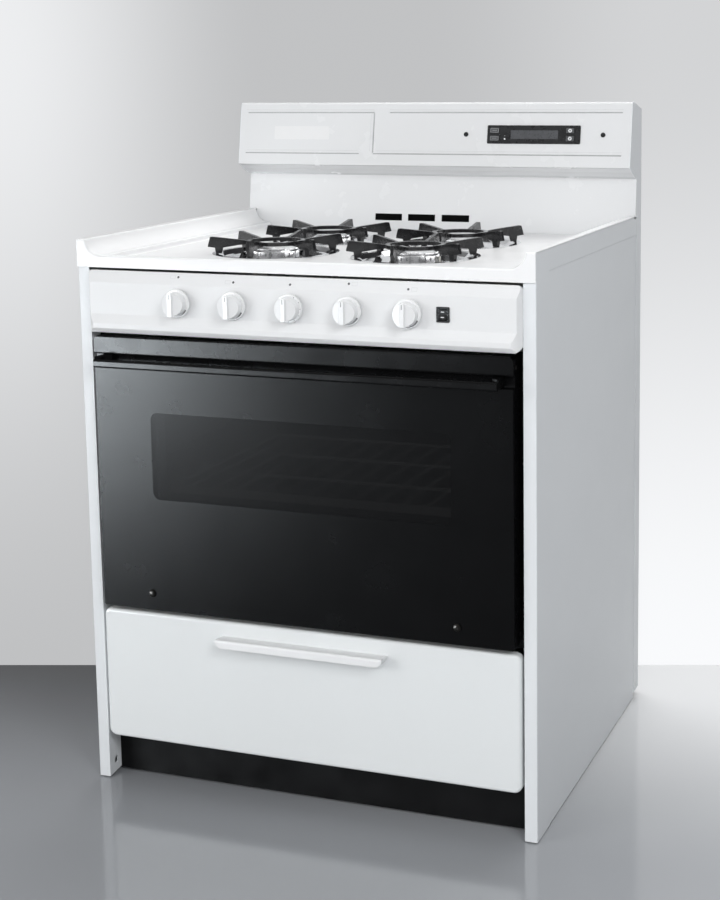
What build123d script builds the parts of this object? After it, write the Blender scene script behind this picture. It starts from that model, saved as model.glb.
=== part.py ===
from build123d import *
import math
import os

# Freestanding gas range, millimetres, +Z up, the user stands at -Y.
# Origin: centre of the footprint, on the floor.

# ---------------------------------------------------------------- driving sizes
WIDTH = 762.0            # overall width
HW = WIDTH / 2
DEPTH = 640.0            # cabinet, front flange face to rear face
HANDLE_OUT = 42.0        # door handle bar in front of the flange face
YF = -(DEPTH + HANDLE_OUT) / 2 + HANDLE_OUT   # flange face
RIM_Z = 899.5            # top of the cooktop rim
TOP_Z = 1101.6           # top of the backguard
SHEET = 1.5              # pressed steel
SIDE_SHEET = 2.0         # cabinet side
FLANGE_X = 361.0         # inner edge of the front flange of each side
SIDE_TOP = 897.5         # top edge of the sides
SIDE_Z0 = 2.0            # the feet stand this much below the sides
RETURN_V = 37.0          # depth of the return behind the front flange
STEP_V = 65.0            # width of the front band of the side
SIDE_BACK = 606.0        # depth at which the sides end and the rear corner strip starts
STRIP_FRONT = 607.0

DOOR_HW = 350.0
DOOR_Z0, DOOR_Z1 = 304.0, 748.0
DOOR_FACE = -13.0        # depth of the door's front face
GLASS_TOP = 700.0
RAIL_Z0 = 718.0
DOOR_BACK = 20.0
PIVOT_V, PIVOT_Z = 4.0, 322.0      # oven door hinge axis
WIN = (-252.0, 252.0, 488.0, 628.0)

DRAWER_HW = 357.0
DRAWER_Z0, DRAWER_Z1 = 77.0, 295.0
DRAWER_FACE = -4.0

PANEL_Z0, PANEL_Z1 = 752.0, 851.0
PANEL_FACE = -11.0
KNOB_Z = 805.0
KNOB_X = (-196.0, -100.0, -4.0, 92.0, 188.0)
SWITCH_X = 242.0

WELL_Z = 865.0           # top of the recessed cooktop surface
LIP_Z = 874.0            # top of the front lip
BURNERS = ((-123.0, 185.0), (123.0, 185.0), (-123.0, 395.0), (123.0, 395.0))
BOWL_HOLE_R = 96.0
TOP_PIVOT_V, TOP_PIVOT_Z = 588.0, 893.0

OVEN_HW = 300.0
OVEN_Z0, OVEN_Z1 = 345.0, 715.0
OVEN_BACK = 520.0
FRAME_V = 25.0           # front face of the oven front frame

FACE_A = (555.0, 987.5)  # backguard face, lower edge (depth, height)
FACE_B = (575.0, 1101.0)  # backguard face, upper edge
STEM_R = 3.0
RUN = 0.05               # running clearance on stems and pins

os.makedirs("parts", exist_ok=True)


def yy(v):
    """Depth behind the flange face to the part's own Y."""
    return YF + v


def slab(x0, x1, v0, v1, z0, z1, mode=Mode.ADD):
    """A sheet or block between two X, two depths and two heights."""
    with Locations(((x0 + x1) / 2, yy((v0 + v1) / 2), (z0 + z1) / 2)):
        return Box(abs(x1 - x0), abs(v1 - v0), abs(z1 - z0), mode=mode)


def front(v):
    """Plane facing the user at depth v; local x is +X, local y is +Z."""
    return Plane(origin=(0, yy(v), 0), x_dir=(1, 0, 0), z_dir=(0, -1, 0))


def side(x=0.0):
    """Plane facing +X; local x is the part's Y, local y is +Z."""
    return Plane(origin=(x, 0, 0), x_dir=(0, 1, 0), z_dir=(1, 0, 0))


def vz(points):
    """(depth, height) pairs to the local coordinates of side()."""
    return [(yy(v), z) for v, z in points]


# ================================================================ cabinet
# Right side: outer sheet, front flange, inner return behind the flange, rear flange.
with BuildPart() as side_panel_right:
    with BuildSketch(Plane.XY.offset(SIDE_Z0)):
        with BuildLine():
            Polyline(
                (HW, yy(0)), (HW, yy(SIDE_BACK)), (HW - 18, yy(SIDE_BACK)),
                (HW - 18, yy(SIDE_BACK - SHEET)), (HW - SIDE_SHEET, yy(SIDE_BACK - SHEET)),
                (HW - SIDE_SHEET, yy(SHEET)), (FLANGE_X, yy(SHEET)), (FLANGE_X, yy(0)),
                close=True,
            )
        make_face()
        fillet(vertices().sort_by(lambda p: -p.X + p.Y)[0], radius=1.8)
    extrude(amount=862 - SIDE_Z0)
    with BuildSketch(Plane.XY.offset(862)):
        with BuildLine():
            Polyline(
                (HW, yy(0)), (HW, yy(SIDE_BACK)), (HW - SIDE_SHEET, yy(SIDE_BACK)),
                (HW - SIDE_SHEET, yy(SHEET)), (HW - 9, yy(SHEET)), (HW - 9, yy(0)),
                close=True,
            )
        make_face()
        fillet(vertices().sort_by(lambda p: -p.X + p.Y)[0], radius=1.8)
    extrude(amount=SIDE_TOP - 862)
    # clearance for the rear end of the cooktop rim as it tips
    with BuildSketch(side(HW - 12)):
        with BuildLine():
            Polyline(*vz([(588, 899), (588, SIDE_TOP), (592.5, 894.6), (608, 894.6), (608, 899)]), close=True)
        make_face()
    extrude(amount=14, mode=Mode.SUBTRACT)
    slab(FLANGE_X, FLANGE_X + SHEET, 0, RETURN_V, SIDE_Z0, 850)
    # the return's lower edge rises towards the rear
    with BuildSketch(side(FLANGE_X - 1)):
        with BuildLine():
            Polyline(*vz([(SHEET, 1), (SHEET, 2.4), (RETURN_V + 1, 6.9), (RETURN_V + 1, 1)]), close=True)
        make_face()
    extrude(amount=SHEET + 2, mode=Mode.SUBTRACT)
    # shallow step: the field behind the front band and under the top band is 0.8 lower
    with BuildSketch(Plane.XY.offset(-5)):
        with BuildLine():
            Polyline(
                (HW, yy(STEP_V)), (HW - 0.8, yy(STEP_V + 2.5)), (HW - 0.8, yy(700)), (HW + 2, yy(700)),
                (HW + 2, yy(STEP_V)), close=True,
            )
        make_face()
    extrude(amount=869, mode=Mode.SUBTRACT)
    with BuildSketch(Plane(origin=(0, yy(STEP_V), 0), x_dir=(1, 0, 0), z_dir=(0, -1, 0))):
        with BuildLine():
            Polyline((HW - 0.8, 863.5), (HW, 866.5), (HW + 2, 866.5), (HW + 2, 863.5), close=True)
        make_face()
    extrude(amount=-640, mode=Mode.SUBTRACT)
    # slotted hole low in the inner return
    with BuildSketch(side(FLANGE_X - 1)):
        with Locations((yy(20), 24)):
            SlotOverall(12, 9, rotation=80)
    extrude(amount=5, mode=Mode.SUBTRACT)
side_panel_right.part.label = "side_panel_right"
export_step(side_panel_right.part, "parts/side_panel_right.step")

with BuildPart() as side_panel_left:
    mirror(side_panel_right.part, about=Plane.YZ)
side_panel_left.part.label = "side_panel_left"
export_step(side_panel_left.part, "parts/side_panel_left.step")

# Rear sheet that wraps round both rear corners; opening for the gas inlet, hole for the cord gland.
INLET_X, INLET_Z = -200.0, 118.0
GLAND_X, GLAND_Z = 300.0, 700.0
with BuildPart() as back_panel:
    with BuildSketch(Plane.XY.offset(12)):
        with BuildLine():
            Polyline(
                (-HW, yy(STRIP_FRONT)), (-HW, yy(DEPTH)), (HW, yy(DEPTH)), (HW, yy(STRIP_FRONT)),
                (HW - SHEET, yy(STRIP_FRONT)), (HW - SHEET, yy(DEPTH - SHEET)),
                (-HW + SHEET, yy(DEPTH - SHEET)), (-HW + SHEET, yy(STRIP_FRONT)), close=True,
            )
        make_face()
    extrude(amount=966 - 12)
    with BuildSketch(front(DEPTH + 2)):
        with Locations((INLET_X, INLET_Z)):
            RectangleRounded(120, 120, 12)
        with Locations((GLAND_X, GLAND_Z)):
            Circle(10)
        # louvres
        with Locations(*[(x, 560 + 22 * i) for i in range(5) for x in (-60.0, 60.0)]):
            SlotOverall(90, 6)
    extrude(amount=6, mode=Mode.SUBTRACT)
back_panel.part.label = "back_panel"
export_step(back_panel.part, "parts/back_panel.step")

# Strain-relief gland in the rear sheet; the cord itself isn't part of the object.
with BuildPart() as cord_gland:
    with BuildSketch(front(DEPTH)):
        with Locations((GLAND_X, GLAND_Z)):
            Circle(9.8)
    extrude(amount=SHEET)
    with BuildSketch(front(DEPTH - SHEET)):
        with Locations((GLAND_X, GLAND_Z)):
            Circle(13)
    extrude(amount=9)
    with BuildSketch(front(DEPTH + 1)):
        with Locations((GLAND_X, GLAND_Z)):
            Circle(4.5)
    extrude(amount=30, mode=Mode.SUBTRACT)
cord_gland.part.label = "cord_gland"
export_step(cord_gland.part, "parts/cord_gland.step")

# Chassis: side plates, front and rear cross members, four leg plates.
LEGS = ((-325.0, 95.0), (325.0, 95.0), (-325.0, 570.0), (325.0, 570.0))
with BuildPart() as base_frame:
    for s in (-1, 1):
        slab(s * 352, s * 353.5, 62, 604, 12, 297)
        slab(s * 298, s * 352, 62, 128, 12, 14)
        slab(s * 298, s * 352, 540, 604, 12, 14)
    slab(-352, 352, 62, 63.5, 12, 74)
    slab(-352, 352, 602.5, 604, 12, 60)
    with Locations(*[(x, yy(v), 13) for x, v in LEGS]):
        Cylinder(5.5, 6, mode=Mode.SUBTRACT)
base_frame.part.label = "base_frame"
export_step(base_frame.part, "parts/base_frame.step")

with BuildPart() as levelling_legs:
    for x, v in LEGS:
        with BuildSketch(Plane.XY):
            with Locations((x, yy(v))):
                Circle(14)
        extrude(amount=6, taper=8)
        with BuildSketch(Plane.XY.offset(6)):
            with Locations((x, yy(v))):
                Circle(5)
        extrude(amount=30)
        for z in (8.0, 14.0):
            with BuildSketch(Plane.XY.offset(z)):
                with Locations((x, yy(v))):
                    RegularPolygon(8.5, 6)
            extrude(amount=4 if z < 10 else 5)
levelling_legs.part.label = "levelling_legs"
export_step(levelling_legs.part, "parts/levelling_legs.step")

with BuildPart() as toe_kick:
    slab(-FLANGE_X, FLANGE_X, RETURN_V - 2, RETURN_V, 4, 75)
    slab(-352, 352, RETURN_V - 2, 90, 74, 75.5)
toe_kick.part.label = "toe_kick"
export_step(toe_kick.part, "parts/toe_kick.step")

# ================================================================ oven
with BuildPart() as front_frame:
    with BuildSketch(front(FRAME_V + SHEET)):
        with Locations((0, (297 + 750) / 2)):
            Rectangle(2 * FLANGE_X, 453)
        with Locations((0, (345 + 710) / 2)):
            RectangleRounded(580, 365, 10, mode=Mode.SUBTRACT)
    extrude(amount=SHEET)
front_frame.part.label = "front_frame"
export_step(front_frame.part, "parts/front_frame.step")

LEDGES = (420.0, 474.0, 530.0, 586.0)
with BuildPart() as oven_wrapper:
    for s in (-1, 1):
        slab(s * OVEN_HW, s * (OVEN_HW + SHEET), FRAME_V + SHEET, OVEN_BACK, OVEN_Z0, OVEN_Z1)
        for z in LEDGES:
            slab(s * (OVEN_HW - 16), s * OVEN_HW, 45, OVEN_BACK - 15, z, z + 3)
    slab(-OVEN_HW - SHEET, OVEN_HW + SHEET, FRAME_V + SHEET, OVEN_BACK, OVEN_Z1, OVEN_Z1 + SHEET)
oven_wrapper.part.label = "oven_wrapper"
export_step(oven_wrapper.part, "parts/oven_wrapper.step")

with BuildPart() as oven_back_liner:
    slab(-OVEN_HW - SHEET, OVEN_HW + SHEET, OVEN_BACK, OVEN_BACK + SHEET, OVEN_Z0, OVEN_Z1 + SHEET)
    # flue outlet above the rear of the cavity
    slab(-60, 60, OVEN_BACK - 1, OVEN_BACK + 3, 690, 706, mode=Mode.SUBTRACT)
oven_back_liner.part.label = "oven_back_liner"
export_step(oven_back_liner.part, "parts/oven_back_liner.step")

with BuildPart() as oven_floor:
    slab(-OVEN_HW, OVEN_HW, FRAME_V + SHEET, OVEN_BACK, OVEN_Z0, OVEN_Z0 + SHEET)
    with BuildSketch(Plane.XY.offset(OVEN_Z0 - 2)):
        with Locations(*[(s * 270, yy(v)) for s in (-1, 1) for v in (120, 220, 320, 420)]):
            SlotOverall(60, 10, rotation=90)
    extrude(amount=6, mode=Mode.SUBTRACT)
oven_floor.part.label = "oven_floor"
export_step(oven_floor.part, "parts/oven_floor.step")

with BuildPart() as oven_insulation:
    for s in (-1, 1):
        slab(s * 302, s * 340, 30, 521, 345, 716)
    slab(-340, 340, 30, 521, 717, 745)
    slab(-340, 340, 522, 545, 345, 745)
oven_insulation.part.label = "oven_insulation"
export_step(oven_insulation.part, "parts/oven_insulation.step")

with BuildPart() as oven_burner:
    with BuildSketch(front(480)):
        with Locations((0, 322)):
            Circle(12)
    extrude(amount=405)
    with BuildSketch(front(476)):
        with Locations((0, 322)):
            Circle(10.5)
    extrude(amount=410, mode=Mode.SUBTRACT)
    with BuildSketch(Plane.XY.offset(322)):
        with Locations(*[(s * 11, yy(110 + 12 * i)) for s in (-1, 1) for i in range(30)]):
            Rectangle(8, 2)
    extrude(amount=3, mode=Mode.SUBTRACT)
oven_burner.part.label = "oven_burner"
export_step(oven_burner.part, "parts/oven_burner.step")

# Wire rack on the second ledge.
RACK_Z = 477.0
with BuildPart() as oven_rack:
    for s in (-1, 1):
        slab(s * 283, s * 288, 62, 505, RACK_Z, RACK_Z + 5)
    for v in (62, 210, 355, 500):
        slab(-288, 288, v, v + 5, RACK_Z, RACK_Z + 5)
    for i in range(-6, 7):
        slab(i * 42 - 2, i * 42 + 2, 62, 505, RACK_Z + 1, RACK_Z + 5)
    slab(-288, 288, 62, 66, RACK_Z, RACK_Z + 16)
oven_rack.part.label = "oven_rack"
export_step(oven_rack.part, "parts/oven_rack.step")

# ================================================================ oven door
# Pressed channel frame: outer wall, front and rear lips, top rail, finger recess.
CH = 13.0   # chamfer that lets the rear lower edge swing past the front frame
with BuildPart() as door_frame:
    with BuildSketch(side(-DOOR_HW)):
        with BuildLine():
            Polyline(
                *vz([
                    (-9, DOOR_Z0), (DOOR_BACK - CH, DOOR_Z0), (DOOR_BACK, DOOR_Z0 + CH),
                    (DOOR_BACK, DOOR_Z1), (DOOR_FACE, DOOR_Z1), (DOOR_FACE, RAIL_Z0),
                    (-5, RAIL_Z0), (-5, GLASS_TOP), (-9, GLASS_TOP),
                ]),
                close=True,
            )
        make_face()
        fillet(vertices().filter_by(lambda p: p.Y > 717 and p.X < yy(-10)), radius=3)
    extrude(amount=2 * DOOR_HW)
    # rounded upper corners and small lower ones
    with BuildSketch(front(DOOR_BACK + 1)):
        with Locations((0, (DOOR_Z0 + DOOR_Z1) / 2)):
            Rectangle(2 * DOOR_HW, DOOR_Z1 - DOOR_Z0)
        fillet(vertices().group_by(Axis.Y)[-1], radius=10)
        fillet(vertices().group_by(Axis.Y)[0], radius=4)
    extrude(amount=40, mode=Mode.INTERSECT)
    with BuildSketch(side(-DOOR_HW + SHEET)):
        with BuildLine():
            Polyline(
                *vz([
                    (-7.5, DOOR_Z0 + 1.5), (DOOR_BACK - CH - 0.6, DOOR_Z0 + 1.5),
                    (DOOR_BACK - 1.5, DOOR_Z0 + CH + 0.6), (DOOR_BACK - 1.5, DOOR_Z1 - 1.5),
                    (DOOR_FACE + 1.5, DOOR_Z1 - 1.5), (DOOR_FACE + 1.5, RAIL_Z0 + 1.5),
                    (-3.5, RAIL_Z0 + 1.5), (-3.5, GLASS_TOP - 1.5), (-7.5, GLASS_TOP - 1.5),
                ]),
                close=True,
            )
        make_face()
        fillet(vertices().filter_by(lambda p: p.Y > 717 and p.X < yy(-10)), radius=1.5)
    extrude(amount=2 * (DOOR_HW - SHEET), mode=Mode.SUBTRACT)
    slab(-332, 332, -12, 25, 322, 684, mode=Mode.SUBTRACT)
    # slots that let the fixed hinge brackets reach the pivot
    for s in (-1, 1):
        slab(s * 321, s * 331, -6, 25, 300, 338, mode=Mode.SUBTRACT)
door_frame.part.label = "door_frame"
export_step(door_frame.part, "parts/door_frame.step")

with BuildPart() as door_glass:
    with BuildSketch(front(-9)):
        with Locations((0, (DOOR_Z0 + GLASS_TOP) / 2)):
            Rectangle(2 * DOOR_HW, GLASS_TOP - DOOR_Z0)
        fillet(vertices().group_by(Axis.Y)[0], radius=4)
        fillet(vertices().group_by(Axis.Y)[-1], radius=1.5)
    extrude(amount=4)
    chamfer(faces().sort_by(Axis.Y)[0].edges(), length=0.8)
door_glass.part.label = "door_glass"
export_step(door_glass.part, "parts/door_glass.step")

with BuildPart() as door_liner:
    slab(-344, 344, 20, 21.5, 318, 744)
    slab(-272, 272, 21.5, 33, 362, 692)
    slab(-270.5, 270.5, 18, 31.5, 363.5, 690.5, mode=Mode.SUBTRACT)
    with BuildSketch(front(36)):
        with Locations((0, 558)):
            RectangleRounded(504, 140, 16)
    extrude(amount=20, mode=Mode.SUBTRACT)
    for s in (-1, 1):
        slab(s * 321, s * 331, 15, 25, 300, 338, mode=Mode.SUBTRACT)
door_liner.part.label = "door_liner"
export_step(door_liner.part, "parts/door_liner.step")

with BuildPart() as door_window:
    slab(-262, 262, 27.5, 31.5, 480, 636)
door_window.part.label = "door_window"
export_step(door_window.part, "parts/door_window.step")

with BuildPart() as door_gasket:
    with BuildSketch(front(FRAME_V)):
        with Locations((0, 529.5)):
            RectangleRounded(622, 397, 18)
            RectangleRounded(606, 381, 12, mode=Mode.SUBTRACT)
    extrude(amount=FRAME_V - 21.5)
door_gasket.part.label = "door_gasket"
export_step(door_gasket.part, "parts/door_gasket.step")

# Full-width bar with an end bracket at each end that stands on the finger recess.
with BuildPart() as door_handle:
    with BuildSketch(side(-334)):
        with BuildLine():
            Polyline(*vz([(-42, 701), (-42, 714), (-32, 714), (-32, 701)]), close=True)
        make_face()
        fillet(vertices().group_by(Axis.X)[0], radius=3.2)
        fillet(vertices().group_by(Axis.X)[-1], radius=2.2)
    extrude(amount=668)
    for s in (-1, 1):
        with BuildSketch(Plane.XY.offset(702.2)):
            with BuildLine():
                Polyline(
                    (s * 334, yy(-38)), (s * 334, yy(-5)), (s * 318, yy(-5)), (s * 318, yy(-12)),
                    (s * 325, yy(-22)), (s * 325, yy(-33)), close=True,
                )
            make_face()
        extrude(amount=RAIL_Z0 - 702.2)
door_handle.part.label = "door_handle"
export_step(door_handle.part, "parts/door_handle.step")

with BuildPart() as door_hinge_arms:
    for s in (-1, 1):
        with BuildSketch(side(min(s * 316, s * 320))):
            with BuildLine():
                Polyline(
                    *vz([
                        (-7.5, DOOR_Z0 + 1.5), (DOOR_BACK - CH - 0.6, DOOR_Z0 + 1.5),
                        (DOOR_BACK - 1.5, DOOR_Z0 + CH + 0.6), (DOOR_BACK - 1.5, 350),
                        (6, 430), (-7.5, 430),
                    ]),
                    close=True,
                )
            make_face()
            with Locations((yy(PIVOT_V), PIVOT_Z)):
                Circle(4 + RUN, mode=Mode.SUBTRACT)
        extrude(amount=4)
door_hinge_arms.part.label = "door_hinge_arms"
export_step(door_hinge_arms.part, "parts/door_hinge_arms.step")

# Two pan-head screws low on the glass, one in each end of the top rail.
with BuildPart() as door_screws:
    for x in (-260.0, 260.0):
        with BuildSketch(front(DOOR_FACE)):
            with Locations((x, 332)):
                Circle(4.2)
        extrude(amount=2.2, taper=18)
    for s in (-1, 1):
        with BuildSketch(Plane(origin=(s * DOOR_HW, yy(-3), 731), x_dir=(0, s, 0), z_dir=(s, 0, 0))):
            Circle(3.4)
        extrude(amount=1.6, taper=14)
door_screws.part.label = "door_screws"
export_step(door_screws.part, "parts/door_screws.step")

# Fixed brackets with the pins that carry the oven door and, at the rear, the cooktop.
with BuildPart() as hinge_brackets:
    for s in (-1, 1):
        with BuildSketch(side(min(s * 323, s * 327))):
            with BuildLine():
                Polyline(*vz([(PIVOT_V, 314), (FRAME_V, 314), (FRAME_V, 330), (PIVOT_V, 330)]), close=True)
            make_face()
            with Locations((yy(PIVOT_V), PIVOT_Z)):
                Circle(8)
        extrude(amount=4)
        slab(s * 323, s * 345, 23.4, FRAME_V, 308, 340)
        with BuildSketch(side(min(s * 314.5, s * 323))):
            with Locations((yy(PIVOT_V), PIVOT_Z)):
                Circle(4)
        extrude(amount=8.5)
    for s in (-1, 1):
        slab(s * 372, s * 375, 582, 602, 830, 894.5)
        slab(s * 375, s * (HW - SIDE_SHEET), 582, 602, 830, 856)
        with BuildSketch(side(min(s * 367.3, s * 372))):
            with Locations((yy(TOP_PIVOT_V), TOP_PIVOT_Z)):
                Circle(4)
        extrude(amount=4.7)
hinge_brackets.part.label = "hinge_brackets"
export_step(hinge_brackets.part, "parts/hinge_brackets.step")

# ================================================================ drawer
with BuildPart() as drawer_front:
    with BuildSketch(front(12)):
        with Locations((0, (DRAWER_Z0 + DRAWER_Z1) / 2)):
            Rectangle(2 * DRAWER_HW, DRAWER_Z1 - DRAWER_Z0)
        fillet(vertices().group_by(Axis.Y)[-1], radius=11)
        fillet(vertices().group_by(Axis.Y)[0], radius=13)
    extrude(amount=12 - DRAWER_FACE)
    fillet(faces().sort_by(Axis.Y)[0].edges(), radius=5)
    with BuildSketch(front(12)):
        with Locations((0, (DRAWER_Z0 + DRAWER_Z1) / 2)):
            Rectangle(2 * DRAWER_HW - 3, DRAWER_Z1 - DRAWER_Z0 - 3)
        fillet(vertices().group_by(Axis.Y)[-1], radius=9.5)
        fillet(vertices().group_by(Axis.Y)[0], radius=11.5)
    extrude(amount=14.5, mode=Mode.SUBTRACT)
    # the pressed front keeps its wall round the rounded edge
    with BuildSketch(front(-2.5)):
        with Locations((0, (DRAWER_Z0 + DRAWER_Z1) / 2)):
            Rectangle(2 * DRAWER_HW - 3, DRAWER_Z1 - DRAWER_Z0 - 3)
            Rectangle(2 * DRAWER_HW - 12, DRAWER_Z1 - DRAWER_Z0 - 12, mode=Mode.SUBTRACT)
        fillet(vertices().filter_by(lambda p: abs(p.X) > 354 and p.Y > 200), radius=9.5)
        fillet(vertices().filter_by(lambda p: abs(p.X) > 354 and p.Y < 200), radius=11.5)
    extrude(amount=-3.5)
drawer_front.part.label = "drawer_front"
export_step(drawer_front.part, "parts/drawer_front.step")

DBX = 330.0
with BuildPart() as drawer_box:
    slab(-355.5, 355.5, 10.5, 12, 90, 282)
    slab(-DBX, DBX, 12, 550, 90, 91.5)
    for s in (-1, 1):
        slab(s * (DBX - 1.5), s * DBX, 12, 550, 90, 240)
        slab(s * DBX, s * 343, 20, 550, 150, 151.5)
    slab(-DBX, DBX, 548.5, 550, 90, 240)
drawer_box.part.label = "drawer_box"
export_step(drawer_box.part, "parts/drawer_box.step")

# Under-grip pull: shelf, lip and two cheeks, open below.
with BuildPart() as drawer_pull:
    with BuildSketch(side(-142)):
        with BuildLine():
            Polyline(*vz([(-29, 258.5), (-29, 273), (DRAWER_FACE, 271), (DRAWER_FACE, 258.5)]), close=True)
        make_face()
        fillet(vertices().filter_by(lambda p: p.X < yy(-28) and p.Y > 270), radius=3.5)
        fillet(vertices().filter_by(lambda p: p.X < yy(-28) and p.Y < 260), radius=1.5)
    extrude(amount=284)
    with BuildSketch(front(0)):
        with Locations((0, 265.75)):
            Rectangle(284, 14.5 + 1)
        chamfer(vertices().group_by(Axis.Y)[0], length=9)
        fillet(vertices().group_by(Axis.Y)[-1], radius=2)
    extrude(amount=40, mode=Mode.INTERSECT)
    slab(-138, 138, -25.5, DRAWER_FACE, 250, 268.5, mode=Mode.SUBTRACT)
drawer_pull.part.label = "drawer_pull"
export_step(drawer_pull.part, "parts/drawer_pull.step")

with BuildPart() as drawer_rails:
    for s in (-1, 1):
        slab(s * 334, s * 352, 66, 600, 147.7, 149.7)
        slab(s * 350.5, s * 352, 66, 600, 128, 147.7)
drawer_rails.part.label = "drawer_rails"
export_step(drawer_rails.part, "parts/drawer_rails.step")

# ================================================================ control panel
def panel_profile(off):
    """Side outline of the pressed panel, shrunk by off."""
    return vz([
        (1.5, PANEL_Z1 - off), (-3 + off, PANEL_Z1 - off), (PANEL_FACE + off, 833 - off * 0.4),
        (PANEL_FACE + off, 782 + off * 0.4), (-16 + off, 768 + off * 0.3), (-16 + off, 760 + off * 0.3),
        (-10 + off * 0.5, PANEL_Z0 + off), (1.5, PANEL_Z0 + off),
    ])


with BuildPart() as panel_inner:
    with BuildSketch(side(-(FLANGE_X - SHEET))):
        with BuildLine():
            Polyline(*panel_profile(SHEET), close=True)
        make_face()
    extrude(amount=2 * (FLANGE_X - SHEET))
    with BuildSketch(Plane.XY.offset(700)):
        with BuildLine():
            w = FLANGE_X - SHEET
            Polyline(
                (-w, yy(5)), (-w + 3, yy(-5)), (-w + 9, yy(-11)), (-w + 15, yy(-14.8)),
                (w - 15, yy(-14.8)), (w - 9, yy(-11)), (w - 3, yy(-5)), (w, yy(5)), (w, yy(30)), (-w, yy(30)),
                close=True,
            )
        make_face()
    extrude(amount=200, mode=Mode.INTERSECT)
    with BuildSketch(front(20)):
        with Locations((0, (PANEL_Z0 + PANEL_Z1) / 2)):
            Rectangle(2 * (FLANGE_X - SHEET), PANEL_Z1 - PANEL_Z0 - 2 * SHEET)
        chamfer(vertices().group_by(Axis.Y)[-1], length=4.5)
        chamfer(vertices().group_by(Axis.Y)[0], length=7.5)
    extrude(amount=60, mode=Mode.INTERSECT)

with BuildPart() as control_panel:
    with BuildSketch(side(-FLANGE_X)):
        with BuildLine():
            Polyline(*panel_profile(0), close=True)
        make_face()
        fillet(vertices().filter_by(lambda p: p.X < yy(-8)), radius=4)
    extrude(amount=2 * FLANGE_X)
    with BuildSketch(Plane.XY.offset(700)):
        with Locations((0, yy(11.2))):
            Rectangle(2 * FLANGE_X, 57.6)
        fillet(vertices().group_by(Axis.Y)[0], radius=22)
    extrude(amount=200, mode=Mode.INTERSECT)
    with BuildSketch(front(20)):
        with Locations((0, (PANEL_Z0 + PANEL_Z1) / 2)):
            Rectangle(2 * FLANGE_X, PANEL_Z1 - PANEL_Z0)
        fillet(vertices().group_by(Axis.Y)[-1], radius=8)
        fillet(vertices().group_by(Axis.Y)[0], radius=13)
    extrude(amount=60, mode=Mode.INTERSECT)
    add(panel_inner.part, mode=Mode.SUBTRACT)
    with BuildSketch(front(5)):
        with Locations(*[(x, KNOB_Z) for x in KNOB_X]):
            Circle(6.5)
        with Locations((SWITCH_X, KNOB_Z)):
            Rectangle(17, 19)
    extrude(amount=30, mode=Mode.SUBTRACT)
control_panel.part.label = "control_panel"
export_step(control_panel.part, "parts/control_panel.step")

# Knobs: skirt, drum with a central ridge, blind bore on the stem.
KNOB_BACK = -16.5
KNOB_NAMES = ("knob_left_outer", "knob_left_inner", "knob_oven", "knob_right_inner", "knob_right_outer")
for name, x in zip(KNOB_NAMES, KNOB_X):
    with BuildPart() as knob:
        with BuildSketch(front(KNOB_BACK)):
            with Locations((x, KNOB_Z)):
                Circle(22.5)
        extrude(amount=4)
        chamfer(faces().sort_by(Axis.Y)[0].edges(), length=1.6)
        with BuildSketch(front(KNOB_BACK - 3.9)):
            with Locations((x, KNOB_Z)):
                Circle(18.5)
        extrude(amount=20.1, taper=3)
        for s in (-1, 1):
            with BuildSketch(Plane(origin=(x, yy(KNOB_BACK - 24), KNOB_Z + 30), x_dir=(1, 0, 0), z_dir=(0, 0, -1))):
                # local x is +X, local y is -Y
                with BuildLine():
                    Polyline((s * 3.2, 0.4), (s * 5.0, -3.0), (s * 19.5, -9.5), (s * 26, -9.5), (s * 26, 0.4), close=True)
                make_face()
            extrude(amount=60, mode=Mode.SUBTRACT)
        with BuildSketch(front(KNOB_BACK + 1)):
            with Locations((x, KNOB_Z)):
                Circle(STEM_R + RUN)
        extrude(amount=17, mode=Mode.SUBTRACT)
    knob.part.label = name
    export_step(knob.part, f"parts/{name}.step")

# Valve stems: they slide 4 mm into the valve when a knob is pushed.
STEM_NAMES = ("stem_left_outer", "stem_left_inner", "stem_oven", "stem_right_inner", "stem_right_outer")
for name, x in zip(STEM_NAMES, KNOB_X):
    if name == "stem_oven":
        continue
    with BuildPart() as stem:
        with BuildSketch(front(26)):
            with Locations((x, KNOB_Z)):
                Circle(STEM_R)
        extrude(amount=26 + 31)
    stem.part.label = name
    export_step(stem.part, f"parts/{name}.step")

with BuildPart() as burner_valves:
    for x in (KNOB_X[0], KNOB_X[1], KNOB_X[3], KNOB_X[4]):
        slab(x - 13, x + 13, 16, 52, 786, 820)
        with BuildSketch(front(64)):
            with Locations((x, KNOB_Z)):
                Circle(4.5)
        extrude(amount=14)
        with BuildSketch(front(16)):
            with Locations((x, KNOB_Z)):
                Circle(8)
        extrude(amount=8)
        with BuildSketch(front(36)):
            with Locations((x, KNOB_Z)):
                Circle(STEM_R + RUN)
        extrude(amount=40, mode=Mode.SUBTRACT)
burner_valves.part.label = "burner_valves"
export_step(burner_valves.part, "parts/burner_valves.step")

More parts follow.
